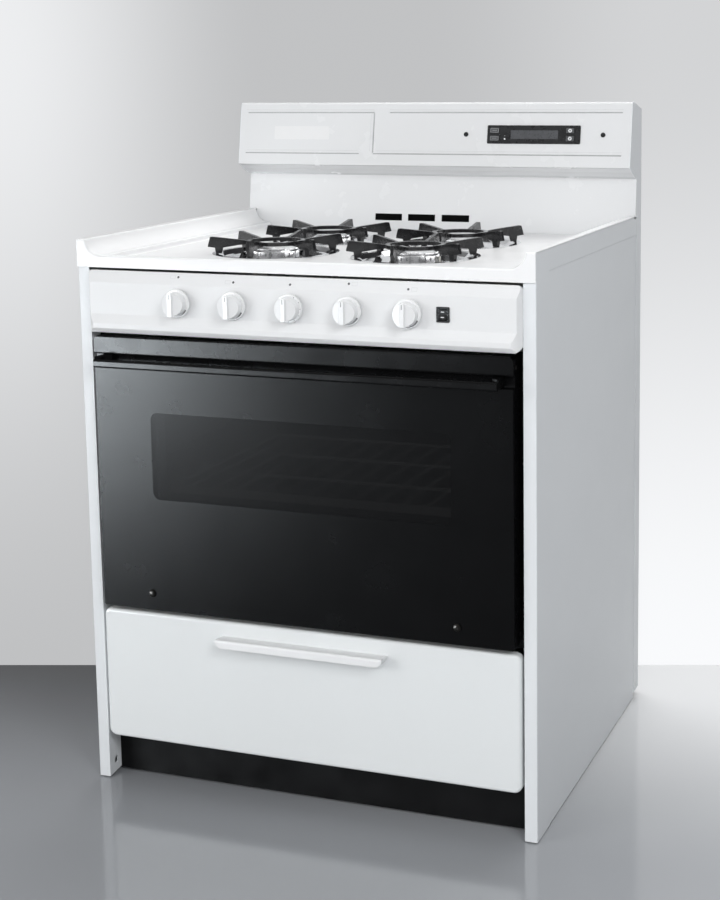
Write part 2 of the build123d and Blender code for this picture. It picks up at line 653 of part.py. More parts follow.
# Oven thermostat with its own fixed shaft and the supply tube down to the oven burner.
with BuildPart() as oven_thermostat:
    slab(KNOB_X[2] - 21, KNOB_X[2] + 21, 16, 56, 786, 826)
    with BuildSketch(front(20)):
        with Locations((KNOB_X[2], KNOB_Z)):
            Circle(STEM_R)
    extrude(amount=20 + 31)
    route = [(20, 62, 795), (346, 62, 795), (346, 62, 322), (12, 62, 322)]
    slab(KNOB_X[2] + 10, 24, 54, 67, 790, 800)
    for (xa, va, za), (xb, vb, zb) in zip(route, route[1:]):
        start = Vector(xa, yy(va), za)
        run = Vector(xb, yy(vb), zb) - start
        with BuildSketch(Plane(origin=start, z_dir=run.normalized())):
            Circle(4)
        extrude(amount=run.length)
    with Locations(*[(x, yy(v), z) for x, v, z in route[1:]]):
        Sphere(4)
    with BuildSketch(front(58)):
        with Locations((0, 322)):
            Circle(5)
    extrude(amount=-14)
    slab(0, 14, 60, 66, 318.5, 325.5)
oven_thermostat.part.label = "oven_thermostat"
export_step(oven_thermostat.part, "parts/oven_thermostat.step")

# Manifold along the front, feed pipe over the oven and down the back to the regulator.
MAN_V, MAN_Z = 44.0, 772.0
with BuildPart() as gas_manifold:
    with BuildSketch(side(-262)):
        with Locations((yy(MAN_V), MAN_Z)):
            Circle(9.5)
    extrude(amount=470)
    for x in KNOB_X:
        slab(x - 9, x + 9, MAN_V - 8, MAN_V + 8, MAN_Z, 786)
    with BuildSketch(front(575)):
        with Locations((-240, MAN_Z)):
            Circle(8)
    extrude(amount=575 - MAN_V)
    with Locations((-240, yy(575), MAN_Z)):
        Sphere(8)
    with BuildSketch(Plane.XY.offset(160)):
        with Locations((-240, yy(575))):
            Circle(8)
    extrude(amount=MAN_Z - 160)
gas_manifold.part.label = "gas_manifold"
export_step(gas_manifold.part, "parts/gas_manifold.step")

# Pressure regulator with the threaded inlet nipple that the supply line fits.
with BuildPart() as gas_regulator:
    with BuildSketch(front(588)):
        with Locations((INLET_X, INLET_Z)):
            Circle(32)
    extrude(amount=16)
    with BuildSketch(front(594)):
        with Locations((INLET_X, INLET_Z)):
            Circle(20)
    extrude(amount=27)
    with BuildSketch(front(634)):
        with Locations((INLET_X, INLET_Z)):
            Circle(10.67)
    extrude(amount=45)
    with BuildSketch(front(596)):
        with Locations((INLET_X, INLET_Z)):
            RegularPolygon(14, 6)
    extrude(amount=10)
    slab(-250, -205, 566, 584, 122, 140)
    slab(-252, -228, 563, 587, 122, 160)
    with BuildSketch(front(636)):
        with Locations((INLET_X, INLET_Z)):
            Circle(7.6)
    extrude(amount=40, mode=Mode.SUBTRACT)
gas_regulator.part.label = "gas_regulator"
export_step(gas_regulator.part, "parts/gas_regulator.step")

# Venturi tubes from the spuds to the burner throats; the outer knobs feed the rear burners.
HEAD_Z0 = 839.0          # underside of the burner heads
PAIRS = ((KNOB_X[1], BURNERS[0]), (KNOB_X[3], BURNERS[1]), (KNOB_X[0], BURNERS[2]), (KNOB_X[4], BURNERS[3]))
with BuildPart() as venturi_tubes:
    for x, (bx, bv) in PAIRS:
        start = Vector(x, yy(70), KNOB_Z)
        run = Vector(bx, yy(bv), KNOB_Z) - start
        with BuildSketch(Plane(origin=start, z_dir=run.normalized())):
            Circle(10)
        extrude(amount=run.length)
        with BuildSketch(Plane.XY.offset(794)):
            with Locations((bx, yy(bv))):
                Circle(14)
        extrude(amount=HEAD_Z0 - 794)
        with BuildSketch(Plane(origin=start, z_dir=run.normalized()).offset(-2)):
            Circle(8)
        extrude(amount=run.length - 12, mode=Mode.SUBTRACT)
        with BuildSketch(Plane.XY.offset(798)):
            with Locations((bx, yy(bv))):
                Circle(12)
        extrude(amount=60, mode=Mode.SUBTRACT)
venturi_tubes.part.label = "venturi_tubes"
export_step(venturi_tubes.part, "parts/venturi_tubes.step")

# Burner heads with ports and a separate cap on each.
HEAD_PROFILE = ((0, 839), (16, 839), (16, 847), (30, 851), (38, 855), (38, 869), (36, 871), (0, 871))
with BuildPart() as one_head:
    with BuildSketch(Plane.XZ):
        with BuildLine():
            Polyline(*HEAD_PROFILE, close=True)
        make_face()
    revolve(axis=Axis.Z)
    with BuildSketch(Plane.XY.offset(862)):
        with PolarLocations(36, 24):
            Rectangle(8, 2.2)
    extrude(amount=5, mode=Mode.SUBTRACT)
with BuildPart() as one_cap:
    with BuildSketch(Plane.XZ):
        with BuildLine():
            Polyline((0, 871), (34, 871), (36, 872), (36, 874), (30, 876.5), (14, 877.5), (0, 877.5), close=True)
        make_face()
    revolve(axis=Axis.Z)
# the caps are separate castings, so they stay separate solids on the heads
burner_heads = Compound(
    label="burner_heads",
    children=[
        solid.moved(Location((bx, yy(bv), 0)))
        for bx, bv in BURNERS
        for solid in (one_head.part.solid(), one_cap.part.solid())
    ],
)
export_step(burner_heads, "parts/burner_heads.step")

with BuildPart() as spark_electrodes:
    for bx, bv in BURNERS:
        s = -1 if bx < 0 else 1
        with BuildSketch(Plane.XY.offset(837)):
            with Locations((bx + s * 40.9, yy(bv))):
                Circle(1.9)
        extrude(amount=30)
        with BuildSketch(Plane.XY.offset(827)):
            with Locations((bx + s * 40.9, yy(bv))):
                Circle(3)
        extrude(amount=12)
        slab(bx + s * 14, bx + s * 42, bv - 3, bv + 3, 827, 829)
spark_electrodes.part.label = "spark_electrodes"
export_step(spark_electrodes.part, "parts/spark_electrodes.step")

# ================================================================ cooktop
RIM_X = 365.0            # inner edge of the side rims
WELL_X = 334.0           # side wall of the well
LIP_V = 12.0             # rear face of the front lip
COOK_F, COOK_B = -3.0, 591.5
COVE = RIM_Z - LIP_Z     # radius of the coves inside the rims


def dip(off, top):
    """Front outline of the dip between the rims, moved off into the sheet: end, knee and start of a cove."""
    r = COVE + off
    mid = RIM_X - COVE
    reach = mid + math.sqrt(r ** 2 - (RIM_Z - top) ** 2)
    return (mid, LIP_Z - off), (mid + r * math.sin(math.radians(45)), RIM_Z - r * math.cos(math.radians(45))), (reach, top)


with BuildPart() as cooktop_under:
    low, knee, high = dip(SHEET, RIM_Z - SHEET)
    with BuildSketch(front(600)):
        with BuildLine():
            Polyline(
                (-high[0], high[1]), (-HW - 2, high[1]), (-HW - 2, 840), (HW + 2, 840), (HW + 2, high[1]), high,
            )
            ThreePointArc(high, knee, low)
            Line(low, (-low[0], low[1]))
            ThreePointArc((-low[0], low[1]), (-knee[0], knee[1]), (-high[0], high[1]))
        make_face()
    extrude(amount=600 - COOK_F - SHEET)
    with BuildSketch(Plane.XY.offset(WELL_Z - SHEET)):
        with Locations((0, yy((LIP_V - SHEET + 640) / 2))):
            Rectangle(2 * (WELL_X + SHEET), 640 - LIP_V + SHEET)
        fillet(vertices().group_by(Axis.Y)[0], radius=13.5)
    extrude(amount=20, mode=Mode.SUBTRACT)

with BuildPart() as cooktop:
    slab(-HW, HW, COOK_F, COOK_B, 855, RIM_Z)
    # dip between the rims, down to the front lip
    low, knee, high = dip(0, RIM_Z)
    with BuildSketch(front(700)):
        with BuildLine():
            Polyline((-high[0], RIM_Z), (-high[0], RIM_Z + 9), (high[0], RIM_Z + 9), high)
            ThreePointArc(high, knee, low)
            Line(low, (-low[0], low[1]))
            ThreePointArc((-low[0], low[1]), (-knee[0], knee[1]), (-high[0], RIM_Z))
        make_face()
    extrude(amount=710, mode=Mode.SUBTRACT)
    fillet(
        edges().filter_by(
            lambda e: (abs(e.center().Y - yy(COOK_F)) < 0.01 and e.center().Z > 870 and abs(e.center().X) < HW - 1)
            or (abs(e.center().Z - RIM_Z) < 0.01 and abs(abs(e.center().X) - RIM_X) < 0.01)
        ),
        radius=3,
    )
    # recessed well behind the lip, open towards the rear
    with BuildSketch(Plane.XY.offset(WELL_Z)):
        with Locations((0, yy((LIP_V + 640) / 2))):
            Rectangle(2 * WELL_X, 640 - LIP_V)
        fillet(vertices().group_by(Axis.Y)[0], radius=12)
    extrude(amount=40, mode=Mode.SUBTRACT)
    for z in (LIP_Z, WELL_Z):
        fillet(
            edges().filter_by(
                lambda e: abs(e.center().Z - z) < 0.01 and abs(e.center().X) < WELL_X + 0.1
                and yy(LIP_V) - 0.1 < e.center().Y < yy(COOK_B) - 1
            ),
            radius=3,
        )
    add(cooktop_under.part, mode=Mode.SUBTRACT)
    with BuildSketch(Plane.XY.offset(WELL_Z - 10)):
        with Locations(*[(bx, yy(bv)) for bx, bv in BURNERS]):
            Circle(BOWL_HOLE_R)
    extrude(amount=20, mode=Mode.SUBTRACT)
    # pivot ears in the side rims
    for s in (-1, 1):
        with BuildSketch(side(min(s * 367.6, s * 370.6))):
            with BuildLine():
                Polyline(
                    *vz([
                        (560, RIM_Z - SHEET), (TOP_PIVOT_V + 3.4, RIM_Z - SHEET), (594.2, 895.5), (594.4, 891),
                        (591, 887), (574, 886.5),
                    ]),
                    close=True,
                )
            make_face()
            with Locations((yy(TOP_PIVOT_V), TOP_PIVOT_Z)):
                Circle(4 + RUN, mode=Mode.SUBTRACT)
        extrude(amount=3)
cooktop.part.label = "cooktop"
export_step(cooktop.part, "parts/cooktop.step")

with BuildPart() as one_bowl:
    with BuildSketch(Plane.XZ):
        with BuildLine():
            Polyline(
                (44, 855.6), (50, 852.2), (62, 852.2), (87, 858.0), (95, 864.2), (95.3, WELL_Z), (104, WELL_Z),
                (104, WELL_Z + 1.2), (94, WELL_Z + 1.2), (86.4, 859.3), (62, 853.4), (50.3, 853.4), (44.6, 856.7),
                close=True,
            )
        make_face()
    revolve(axis=Axis.Z)
with BuildPart() as drip_bowls:
    for bx, bv in BURNERS:
        add(one_bowl.part.moved(Location((bx, yy(bv), 0))))
drip_bowls.part.label = "drip_bowls"
export_step(drip_bowls.part, "parts/drip_bowls.step")

# Grates: six upright fingers on a ring, feet on the bowl's rim; the front and rear fingers are shorter.
GRATE_T = 6.0
with BuildPart() as one_grate:
    with BuildSketch(Plane.XY.offset(879.7)):
        Circle(48.5)
        Circle(41, mode=Mode.SUBTRACT)
    extrude(amount=6)
    for k in range(6):
        angle = math.radians(30 + 60 * k)
        reach = 98.5 if k in (1, 4) else 108.0
        with BuildSketch(Plane(origin=(0, 0, 0), x_dir=(math.cos(angle), math.sin(angle), 0),
                               z_dir=(math.sin(angle), -math.cos(angle), 0))):
            with BuildLine():
                Polyline(
                    (43, 880.5), (43, 885.2), (60, 888), (reach - 6, 893.5), (reach - 1, 893.2),
                    (reach + 3, 877.5), (99.5, 875.5), (98, WELL_Z + 1.2), (88, WELL_Z + 1.2), (86, 875.5),
                    (62, 879), close=True,
                )
            make_face()
            fillet(vertices().filter_by(lambda p: abs(p.Y - 893.2) < 0.1 or abs(p.Y - 893.5) < 0.1), radius=1.5)
        extrude(amount=GRATE_T / 2, both=True)
GRATE_NAMES = ("grate_front_left", "grate_front_right", "grate_rear_left", "grate_rear_right")
for name, (bx, bv) in zip(GRATE_NAMES, BURNERS):
    with BuildPart() as grate:
        add(one_grate.part.moved(Location((bx, yy(bv), 0))))
    grate.part.label = name
    export_step(grate.part, f"parts/{name}.step")

# ================================================================ backguard
with BuildPart() as backguard_riser:
    with BuildSketch(side(-366.4)):
        with BuildLine():
            Polyline(*vz([(592, 862), (605, 966), (606.5, 966), (593.5, 862)]), close=True)
        make_face()
    extrude(amount=732.8)
    with BuildSketch(side(-HW)):
        with BuildLine():
            Polyline(*vz([(596.6, 898.8), (605, 966), (606.5, 966), (598.1, 898.8)]), close=True)
        make_face()
    extrude(amount=WIDTH)
    for s in (-1, 1):
        with BuildSketch(side(min(s * (HW - SHEET), s * HW))):
            with BuildLine():
                Polyline(*vz([(596.6, 898.8), (605, 966), (606.5, 966), (606.5, 898.8)]), close=True)
            make_face()
        extrude(amount=SHEET)
    with BuildSketch(front(615)):
        with Locations((-91.5, 888.5), (-25.6, 888.5), (41.4, 888.5)):
            Rectangle(54, 12.5)
    extrude(amount=40, mode=Mode.SUBTRACT)
backguard_riser.part.label = "backguard_riser"
export_step(backguard_riser.part, "parts/backguard_riser.step")

CONSOLE = [(640, 966), (604, 966), (590, 970), (572, 978.5), (562, 985), FACE_A, FACE_B, (581, TOP_Z), (640, 1088)]
LEAN = math.atan2(FACE_B[0] - FACE_A[0], FACE_B[1] - FACE_A[1])
FACE_MID = Vector(0, yy((FACE_A[0] + FACE_B[0]) / 2), (FACE_A[1] + FACE_B[1]) / 2)
FACE_N = Vector(0, -math.cos(LEAN), math.sin(LEAN))
face_plane = Plane(origin=FACE_MID, x_dir=(1, 0, 0), z_dir=FACE_N)
CLOCK_X = 202.5
BTN = (("clock_button_1", -72.5, 7.0, 17.0, 9.0), ("clock_button_2", -72.5, -7.0, 17.0, 9.0),
       ("clock_button_3", 68.0, 7.0, 15.0, 9.0), ("clock_button_4", 68.0, -7.0, 15.0, 9.0))
with BuildPart() as backguard_console:
    with BuildSketch(side(-HW + SHEET)):
        with BuildLine():
            Polyline(*vz(CONSOLE), close=True)
        make_face()
        fillet(vertices().filter_by(lambda p: p.Y > 1100.5), radius=5)
        offset(amount=-SHEET, mode=Mode.SUBTRACT)
    extrude(amount=WIDTH - 2 * SHEET)
    # embossed lines on the face
    with BuildSketch(face_plane):
        with Locations((-236, 39.5)):
            Rectangle(260, 2.4)
        with Locations((-106.5, 2)):
            Rectangle(2.4, 77)
        with Locations((-251, -36.5)):
            Rectangle(234, 2.4)
        with Locations((144, 39.5)):
            Rectangle(440, 2.4)
        with Locations((129, -36.5)):
            Rectangle(471, 2.4)
    extrude(amount=-0.9, mode=Mode.SUBTRACT)
    with BuildSketch(face_plane.offset(2)):
        with Locations((CLOCK_X, 0)):
            Rectangle(167, 27)
        with Locations((CLOCK_X - 127.5, 0), (CLOCK_X + 127.5, 0)):
            Circle(4.2)
    extrude(amount=-8, mode=Mode.SUBTRACT)
backguard_console.part.label = "backguard_console"
export_step(backguard_console.part, "parts/backguard_console.step")

with BuildPart() as backguard_end_caps:
    for x in (-HW, HW - SHEET):
        with BuildSketch(side(x)):
            with BuildLine():
                Polyline(*vz(CONSOLE), close=True)
            make_face()
            fillet(vertices().filter_by(lambda p: p.Y > 1100.5), radius=5)
        extrude(amount=SHEET)
backguard_end_caps.part.label = "backguard_end_caps"
export_step(backguard_end_caps.part, "parts/backguard_end_caps.step")

with BuildPart() as clock_module:
    with BuildSketch(face_plane):
        with Locations((CLOCK_X, 0)):
            RectangleRounded(173, 33, 2)
    extrude(amount=1.8)
    with BuildSketch(face_plane):
        with Locations((CLOCK_X, 0)):
            Rectangle(167, 27)
    extrude(amount=-24)
    with BuildSketch(face_plane.offset(2)):
        with Locations((CLOCK_X + 1.5, 0)):
            Rectangle(92, 19)
    extrude(amount=-0.9, mode=Mode.SUBTRACT)
    with BuildSketch(face_plane.offset(2)):
        for _, bx, by, bw, bh in BTN:
            with Locations((CLOCK_X + bx, by)):
                RectangleRounded(bw + 0.8, bh + 0.8, 1.6)
    extrude(amount=-11, mode=Mode.SUBTRACT)
    with BuildSketch(face_plane.offset(-3)):
        with Locations((CLOCK_X - 127.5, 0), (CLOCK_X + 127.5, 0)):
            Circle(4.2)
    extrude(amount=4.2)
clock_module.part.label = "clock_module"
export_step(clock_module.part, "parts/clock_module.step")

for name, bx, by, bw, bh in BTN:
    with BuildPart() as button:
        with BuildSketch(face_plane.offset(-6)):
            with Locations((CLOCK_X + bx, by)):
                RectangleRounded(bw, bh, 1.2)
        extrude(amount=9.4)
        chamfer(faces().sort_by(Axis((0, 0, 0), (0, -math.cos(LEAN), math.sin(LEAN))))[-1].edges(), length=0.5)
    button.part.label = name
    export_step(button.part, f"parts/{name}.step")

# ================================================================ rocker switch
with BuildPart() as switch_housing:
    with BuildSketch(front(PANEL_FACE)):
        with Locations((SWITCH_X, KNOB_Z)):
            RectangleRounded(20.5, 23, 1.5)
    extrude(amount=2.5)
    chamfer(faces().sort_by(Axis.Y)[0].edges(), length=0.6)
    with BuildSketch(front(PANEL_FACE)):
        with Locations((SWITCH_X, KNOB_Z)):
            Rectangle(17, 19)
    extrude(amount=-24)
    with BuildSketch(front(PANEL_FACE + 14)):
        with Locations((SWITCH_X, KNOB_Z)):
            Rectangle(14, 17.4)
    extrude(amount=30, mode=Mode.SUBTRACT)
switch_housing.part.label = "switch_housing"
export_step(switch_housing.part, "parts/switch_housing.step")

ROCK_TILT = math.radians(8)
with BuildPart() as rocker:
    with BuildSketch(Plane(origin=(SWITCH_X - 6.5, yy(-12), KNOB_Z), x_dir=(0, math.cos(ROCK_TILT), -math.sin(ROCK_TILT)), z_dir=(1, 0, 0))):
        with BuildLine():
            Polyline((-2.6, -7.4), (-1.2, 0), (-2.6, 7.4), (2.5, 7.4), (7, 2.6), (7, -2.6), (2.5, -7.4), close=True)
        make_face()
    extrude(amount=13)
rocker.part.label = "rocker"
export_step(rocker.part, "parts/rocker.step")
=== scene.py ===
import math
import random

import bmesh
import bpy
from mathutils import Euler, Matrix, Vector


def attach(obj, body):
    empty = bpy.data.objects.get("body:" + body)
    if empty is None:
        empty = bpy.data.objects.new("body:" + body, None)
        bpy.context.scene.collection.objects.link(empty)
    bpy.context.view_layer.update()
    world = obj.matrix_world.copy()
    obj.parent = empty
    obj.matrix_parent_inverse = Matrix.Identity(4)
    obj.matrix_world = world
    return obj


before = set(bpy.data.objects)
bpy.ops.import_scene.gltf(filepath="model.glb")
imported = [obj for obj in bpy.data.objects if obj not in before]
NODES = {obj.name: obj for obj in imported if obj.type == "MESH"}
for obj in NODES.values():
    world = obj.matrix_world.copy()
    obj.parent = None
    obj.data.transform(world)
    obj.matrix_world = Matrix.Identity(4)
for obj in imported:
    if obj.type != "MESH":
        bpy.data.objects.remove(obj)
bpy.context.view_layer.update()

random.seed(7)
YF = -0.299


def yy(v):
    """Depth behind the flange face, in millimetres, to row-frame Y in metres."""
    return YF + v * 0.001


# ----------------------------------------------------------------- materials
def new_mat(name):
    m = bpy.data.materials.new(name)
    m.use_nodes = True
    nt = m.node_tree
    for n in list(nt.nodes):
        nt.nodes.remove(n)
    out = nt.nodes.new("ShaderNodeOutputMaterial")
    bsdf = nt.nodes.new("ShaderNodeBsdfPrincipled")
    nt.links.new(bsdf.outputs[0], out.inputs[0])
    return m, nt, bsdf, out


def coords(nt, scale=(1, 1, 1)):
    tc = nt.nodes.new("ShaderNodeTexCoord")
    mp = nt.nodes.new("ShaderNodeMapping")
    mp.inputs["Scale"].default_value = scale
    nt.links.new(tc.outputs["Object"], mp.inputs["Vector"])
    return mp.outputs[0]


def noise(nt, vec, scale, detail=3.0, rough=0.55):
    n = nt.nodes.new("ShaderNodeTexNoise")
    n.inputs["Scale"].default_value = scale
    n.inputs["Detail"].default_value = detail
    n.inputs["Roughness"].default_value = rough
    nt.links.new(vec, n.inputs["Vector"])
    return n.outputs["Fac"]


def remap(nt, fac, lo, hi, a=0.0, b=1.0):
    r = nt.nodes.new("ShaderNodeMapRange")
    r.inputs["From Min"].default_value = a
    r.inputs["From Max"].default_value = b
    r.inputs["To Min"].default_value = lo
    r.inputs["To Max"].default_value = hi
    nt.links.new(fac, r.inputs["Value"])
    return r.outputs[0]


def math_node(nt, op, a, b=None, clamp=False):
    n = nt.nodes.new("ShaderNodeMath")
    n.operation = op
    n.use_clamp = clamp
    for i, x in enumerate((a, b)):
        if x is None:
            continue
        if isinstance(x, (int, float)):
            n.inputs[i].default_value = x
        else:
            nt.links.new(x, n.inputs[i])
    return n.outputs[0]


def mix_col(nt, fac, a, b):
    n = nt.nodes.new("ShaderNodeMix")
    n.data_type = "RGBA"
    if isinstance(fac, (int, float)):
        n.inputs[0].default_value = fac
    else:
        nt.links.new(fac, n.inputs[0])
    for sock, x in ((n.inputs[6], a), (n.inputs[7], b)):
        if isinstance(x, (tuple, list)):
            sock.default_value = (*x[:3], 1)
        else:
            nt.links.new(x, sock)
    return n.outputs[2]


def surface(name, base, rough, metallic=0.0, vary=0.03, vary_scale=5.0, rough_vary=0.05, rough_scale=18.0,
            bump=0.0, bump_scale=250.0, bump_dist=0.0002, edge=0.0008, edge_col=None, coat=0.0, coat_rough=0.05,
            ior=1.5, stretch=(1, 1, 1), specks=None, tint=None, extra=None):
    """A real-scale procedural surface: tone that drifts, roughness that drifts, fine relief, softened edges, and edge
    colour mixed towards edge_col, which is wear on most materials and partly a painted highlight on the black grates.
    """
    m, nt, b, out = new_mat(name)
    vec = coords(nt)
    grain = coords(nt, stretch)
    low = tuple(c * (1 - vary) for c in base)
    high = tuple(min(1.0, c * (1 + vary)) for c in (tint or base))
    col = mix_col(nt, remap(nt, noise(nt, vec, vary_scale, 4), 0, 1, 0.35, 0.65), low, high)
    if specks:
        sc, amount, scol = specks
        f = noise(nt, vec, sc, 2, 0.4)
        mask = remap(nt, f, 0, 1, amount, amount + 0.035)
        col = mix_col(nt, mask, col, scol)
    bev = None
    if edge:
        bev = nt.nodes.new("ShaderNodeBevel")
        bev.samples = 4
        bev.inputs["Radius"].default_value = edge
        geo = nt.nodes.new("ShaderNodeNewGeometry")
        dot = nt.nodes.new("ShaderNodeVectorMath")
        dot.operation = "DOT_PRODUCT"
        nt.links.new(bev.outputs[0], dot.inputs[0])
        nt.links.new(geo.outputs["Normal"], dot.inputs[1])
        if edge_col:
            # edge colour: wear, and on the black grates also a painted highlight where the edges catch light
            edge_wear_and_glint = math_node(nt, "MULTIPLY", remap(nt, dot.outputs["Value"], 1, 0, 0.90, 0.995), remap(nt, noise(nt, vec, 60, 3), 0, 1, 0.35, 0.6))
            col = mix_col(nt, edge_wear_and_glint, col, edge_col)
    nt.links.new(col, b.inputs["Base Color"])
    r = remap(nt, noise(nt, grain, rough_scale, 4), max(0.01, rough - rough_vary), rough + rough_vary, 0.3, 0.7)
    nt.links.new(r, b.inputs["Roughness"])
    b.inputs["Metallic"].default_value = metallic
    b.inputs["Coat Weight"].default_value = coat
    b.inputs["Coat Roughness"].default_value = coat_rough
    b.inputs["IOR"].default_value = ior
    normal = bev.outputs[0] if bev else None
    if bump:
        bn = nt.nodes.new("ShaderNodeBump")
        bn.inputs["Strength"].default_value = bump
        bn.inputs["Distance"].default_value = bump_dist
        nt.links.new(noise(nt, grain, bump_scale, 2), bn.inputs["Height"])
        if normal:
            nt.links.new(normal, bn.inputs["Normal"])
        normal = bn.outputs[0]
    if normal:
        nt.links.new(normal, b.inputs["Normal"])
    return m


M = {}
# White enamel in lit and shaded copies of one paint: the cooktop copy is painted lighter, and the panel, backguard and
# side-sheet copies are painted darker, the side sheets also bluer. This is painted light and shade for how the light
# falls on each part; the drawer and front keep the plain white.
M["white"] = surface("white_enamel", (0.815, 0.838, 0.843), 0.24, vary=0.005, vary_scale=2.5, rough_vary=0.02, bump=0.05, bump_scale=160,
                     bump_dist=0.00025, edge=0.0006, ior=1.38)
M["white_lit_top"] = surface("white_cooktop_enamel", (0.89, 0.892, 0.895), 0.24, vary=0.005, vary_scale=2.5, rough_vary=0.02, bump=0.05, bump_scale=160,
                         bump_dist=0.00025, edge=0.0006, ior=1.18)
M["white_shaded_panel"] = surface("white_panel_enamel", (0.80, 0.805, 0.81), 0.30, vary=0.005, vary_scale=3, rough_vary=0.02, bump=0.05, bump_scale=160,
                           bump_dist=0.00025, edge=0.0006, ior=1.12)
M["white_shaded_guard"] = surface("white_backguard_enamel", (0.77, 0.777, 0.785), 0.26, vary=0.005, vary_scale=3, rough_vary=0.02, bump=0.05, bump_scale=160,
                           bump_dist=0.00025, edge=0.0006, ior=1.38)
M["white_shaded_side"] = surface("white_side_sheet", (0.786, 0.808, 0.826), 0.34, vary=0.014, vary_scale=2.0, rough_vary=0.05, bump=0.03, bump_scale=90,
                          bump_dist=0.0002, edge=0, ior=1.14)
M["white_plastic"] = surface("white_plastic", (0.84, 0.845, 0.85), 0.33, vary=0.012, vary_scale=20, rough_vary=0.05, rough_scale=60, bump=0.08,
                             bump_scale=900, bump_dist=0.0001, edge=0.0006, edge_col=(0.78, 0.78, 0.77))
M["black"] = surface("black_enamel", (0.003, 0.003, 0.0033), 0.27, vary=0.15, vary_scale=6, rough_vary=0.03, bump=0.03, bump_scale=180,
                     bump_dist=0.0002, edge=0, ior=1.23)
# painted shade: near-black for the sheet behind the riser's vent slots
M["shade_black"] = surface("painted_shade_inside", (0.003, 0.003, 0.003), 0.8, vary=0.2, vary_scale=30, rough_vary=0.05, bump=0.1, bump_scale=200,
                    bump_dist=0.0002, edge=0, ior=1.2)
M["black_bar"] = surface("black_bar", (0.004, 0.004, 0.0043), 0.27, vary=0.15, vary_scale=8, rough_vary=0.03, bump=0.04, bump_scale=500,
                         bump_dist=0.0001, edge=0, ior=1.22)
M["toe"] = surface("black_toe_sheet", (0.005, 0.005, 0.0054), 0.38, ior=1.2, vary=0.2, vary_scale=5, rough_vary=0.09, bump=0.10, bump_scale=150,
                   bump_dist=0.0003, edge=0)
# black grates: the lighter edge_col is partly wear and partly a painted highlight, edges painted grey as if catching
# light
M["grate"] = surface("grate_enamel", (0.010, 0.010, 0.011), 0.24, vary=0.3, vary_scale=40, rough_vary=0.10, rough_scale=70, bump=0.25,
                     bump_scale=420, bump_dist=0.0003, edge=0.0009, edge_col=(0.10, 0.10, 0.10), coat=0.3, coat_rough=0.12)
M["chrome"] = surface("bright_chrome", (0.80, 0.80, 0.81), 0.07, metallic=1.0, vary=0.02, vary_scale=30, rough_vary=0.035, rough_scale=40,
                      bump=0.04, bump_scale=220, bump_dist=0.0001, edge=0.0005, edge_col=(0.7, 0.7, 0.7))
M["chrome_wire_glow"] = surface("rack_wire_glowing", (0.72, 0.72, 0.73), 0.14, metallic=1.0, vary=0.05, vary_scale=40, rough_vary=0.06, rough_scale=90,
                           bump=0.05, bump_scale=600, bump_dist=0.0001, edge=0.0012, edge_col=(0.45, 0.43, 0.40))
# Painted light: the rack wire glows faintly white, though it is no lamp, so it shows as a faint line in the dark oven.
for nd in M["chrome_wire_glow"].node_tree.nodes:
    if nd.type == "BSDF_PRINCIPLED":
        nd.inputs["Emission Color"].default_value = (1, 1, 1, 1)
        nd.inputs["Emission Strength"].default_value = 0.075
M["zinc"] = surface("zinc_sheet", (0.55, 0.56, 0.57), 0.34, metallic=1.0, vary=0.10, vary_scale=35, rough_vary=0.10, rough_scale=45,
                    bump=0.08, bump_scale=300, bump_dist=0.0002, edge=0.0006, edge_col=(0.40, 0.40, 0.40))
M["aluminium"] = surface("cast_aluminium", (0.66, 0.67, 0.68), 0.33, metallic=1.0, vary=0.07, vary_scale=60, rough_vary=0.10, rough_scale=120,
                         bump=0.22, bump_scale=800, bump_dist=0.0002, edge=0.0006, edge_col=(0.74, 0.74, 0.75))
M["cap"] = surface("burner_cap_metal", (0.74, 0.745, 0.75), 0.20, metallic=1.0, vary=0.05, vary_scale=50, rough_vary=0.07, rough_scale=90,
                   bump=0.12, bump_scale=600, bump_dist=0.0001, edge=0.0008, edge_col=(0.80, 0.80, 0.80))
M["brass"] = surface("turned_brass", (0.68, 0.50, 0.24), 0.28, metallic=1.0, vary=0.08, vary_scale=50, rough_vary=0.08, rough_scale=90,
                     bump=0.1, bump_scale=700, bump_dist=0.0001, edge=0.0005, edge_col=(0.75, 0.58, 0.32))
M["steel"] = surface("machined_steel", (0.60, 0.60, 0.61), 0.25, metallic=1.0, vary=0.05, vary_scale=80, rough_vary=0.08, rough_scale=160,
                     bump=0.1, bump_scale=900, bump_dist=0.0001, edge=0.0004, edge_col=(0.7, 0.7, 0.7))
M["oven"] = surface("speckled_oven_enamel", (0.045, 0.05, 0.062), 0.30, vary=0.2, vary_scale=12, rough_vary=0.10, bump=0.12, bump_scale=260,
                    bump_dist=0.0002, edge=0.001, edge_col=(0.12, 0.12, 0.13), specks=(620, 0.64, (0.62, 0.66, 0.72)))
M["wool"] = surface("glass_wool", (0.78, 0.70, 0.45), 0.95, vary=0.18, vary_scale=40, rough_vary=0.04, bump=0.9, bump_scale=420,
                    bump_dist=0.002, edge=0.004, edge_col=(0.85, 0.80, 0.62))
M["gasket"] = surface("woven_gasket", (0.20, 0.20, 0.195), 0.85, vary=0.25, vary_scale=300, rough_vary=0.08, bump=0.8, bump_scale=700,
                      bump_dist=0.0008, edge=0.0012, edge_col=(0.35, 0.34, 0.32))
M["ceramic"] = surface("glazed_ceramic", (0.84, 0.82, 0.76), 0.18, vary=0.04, vary_scale=80, rough_vary=0.05, bump=0.06, bump_scale=500,
                       bump_dist=0.0001, edge=0.0004, edge_col=(0.6, 0.55, 0.5))
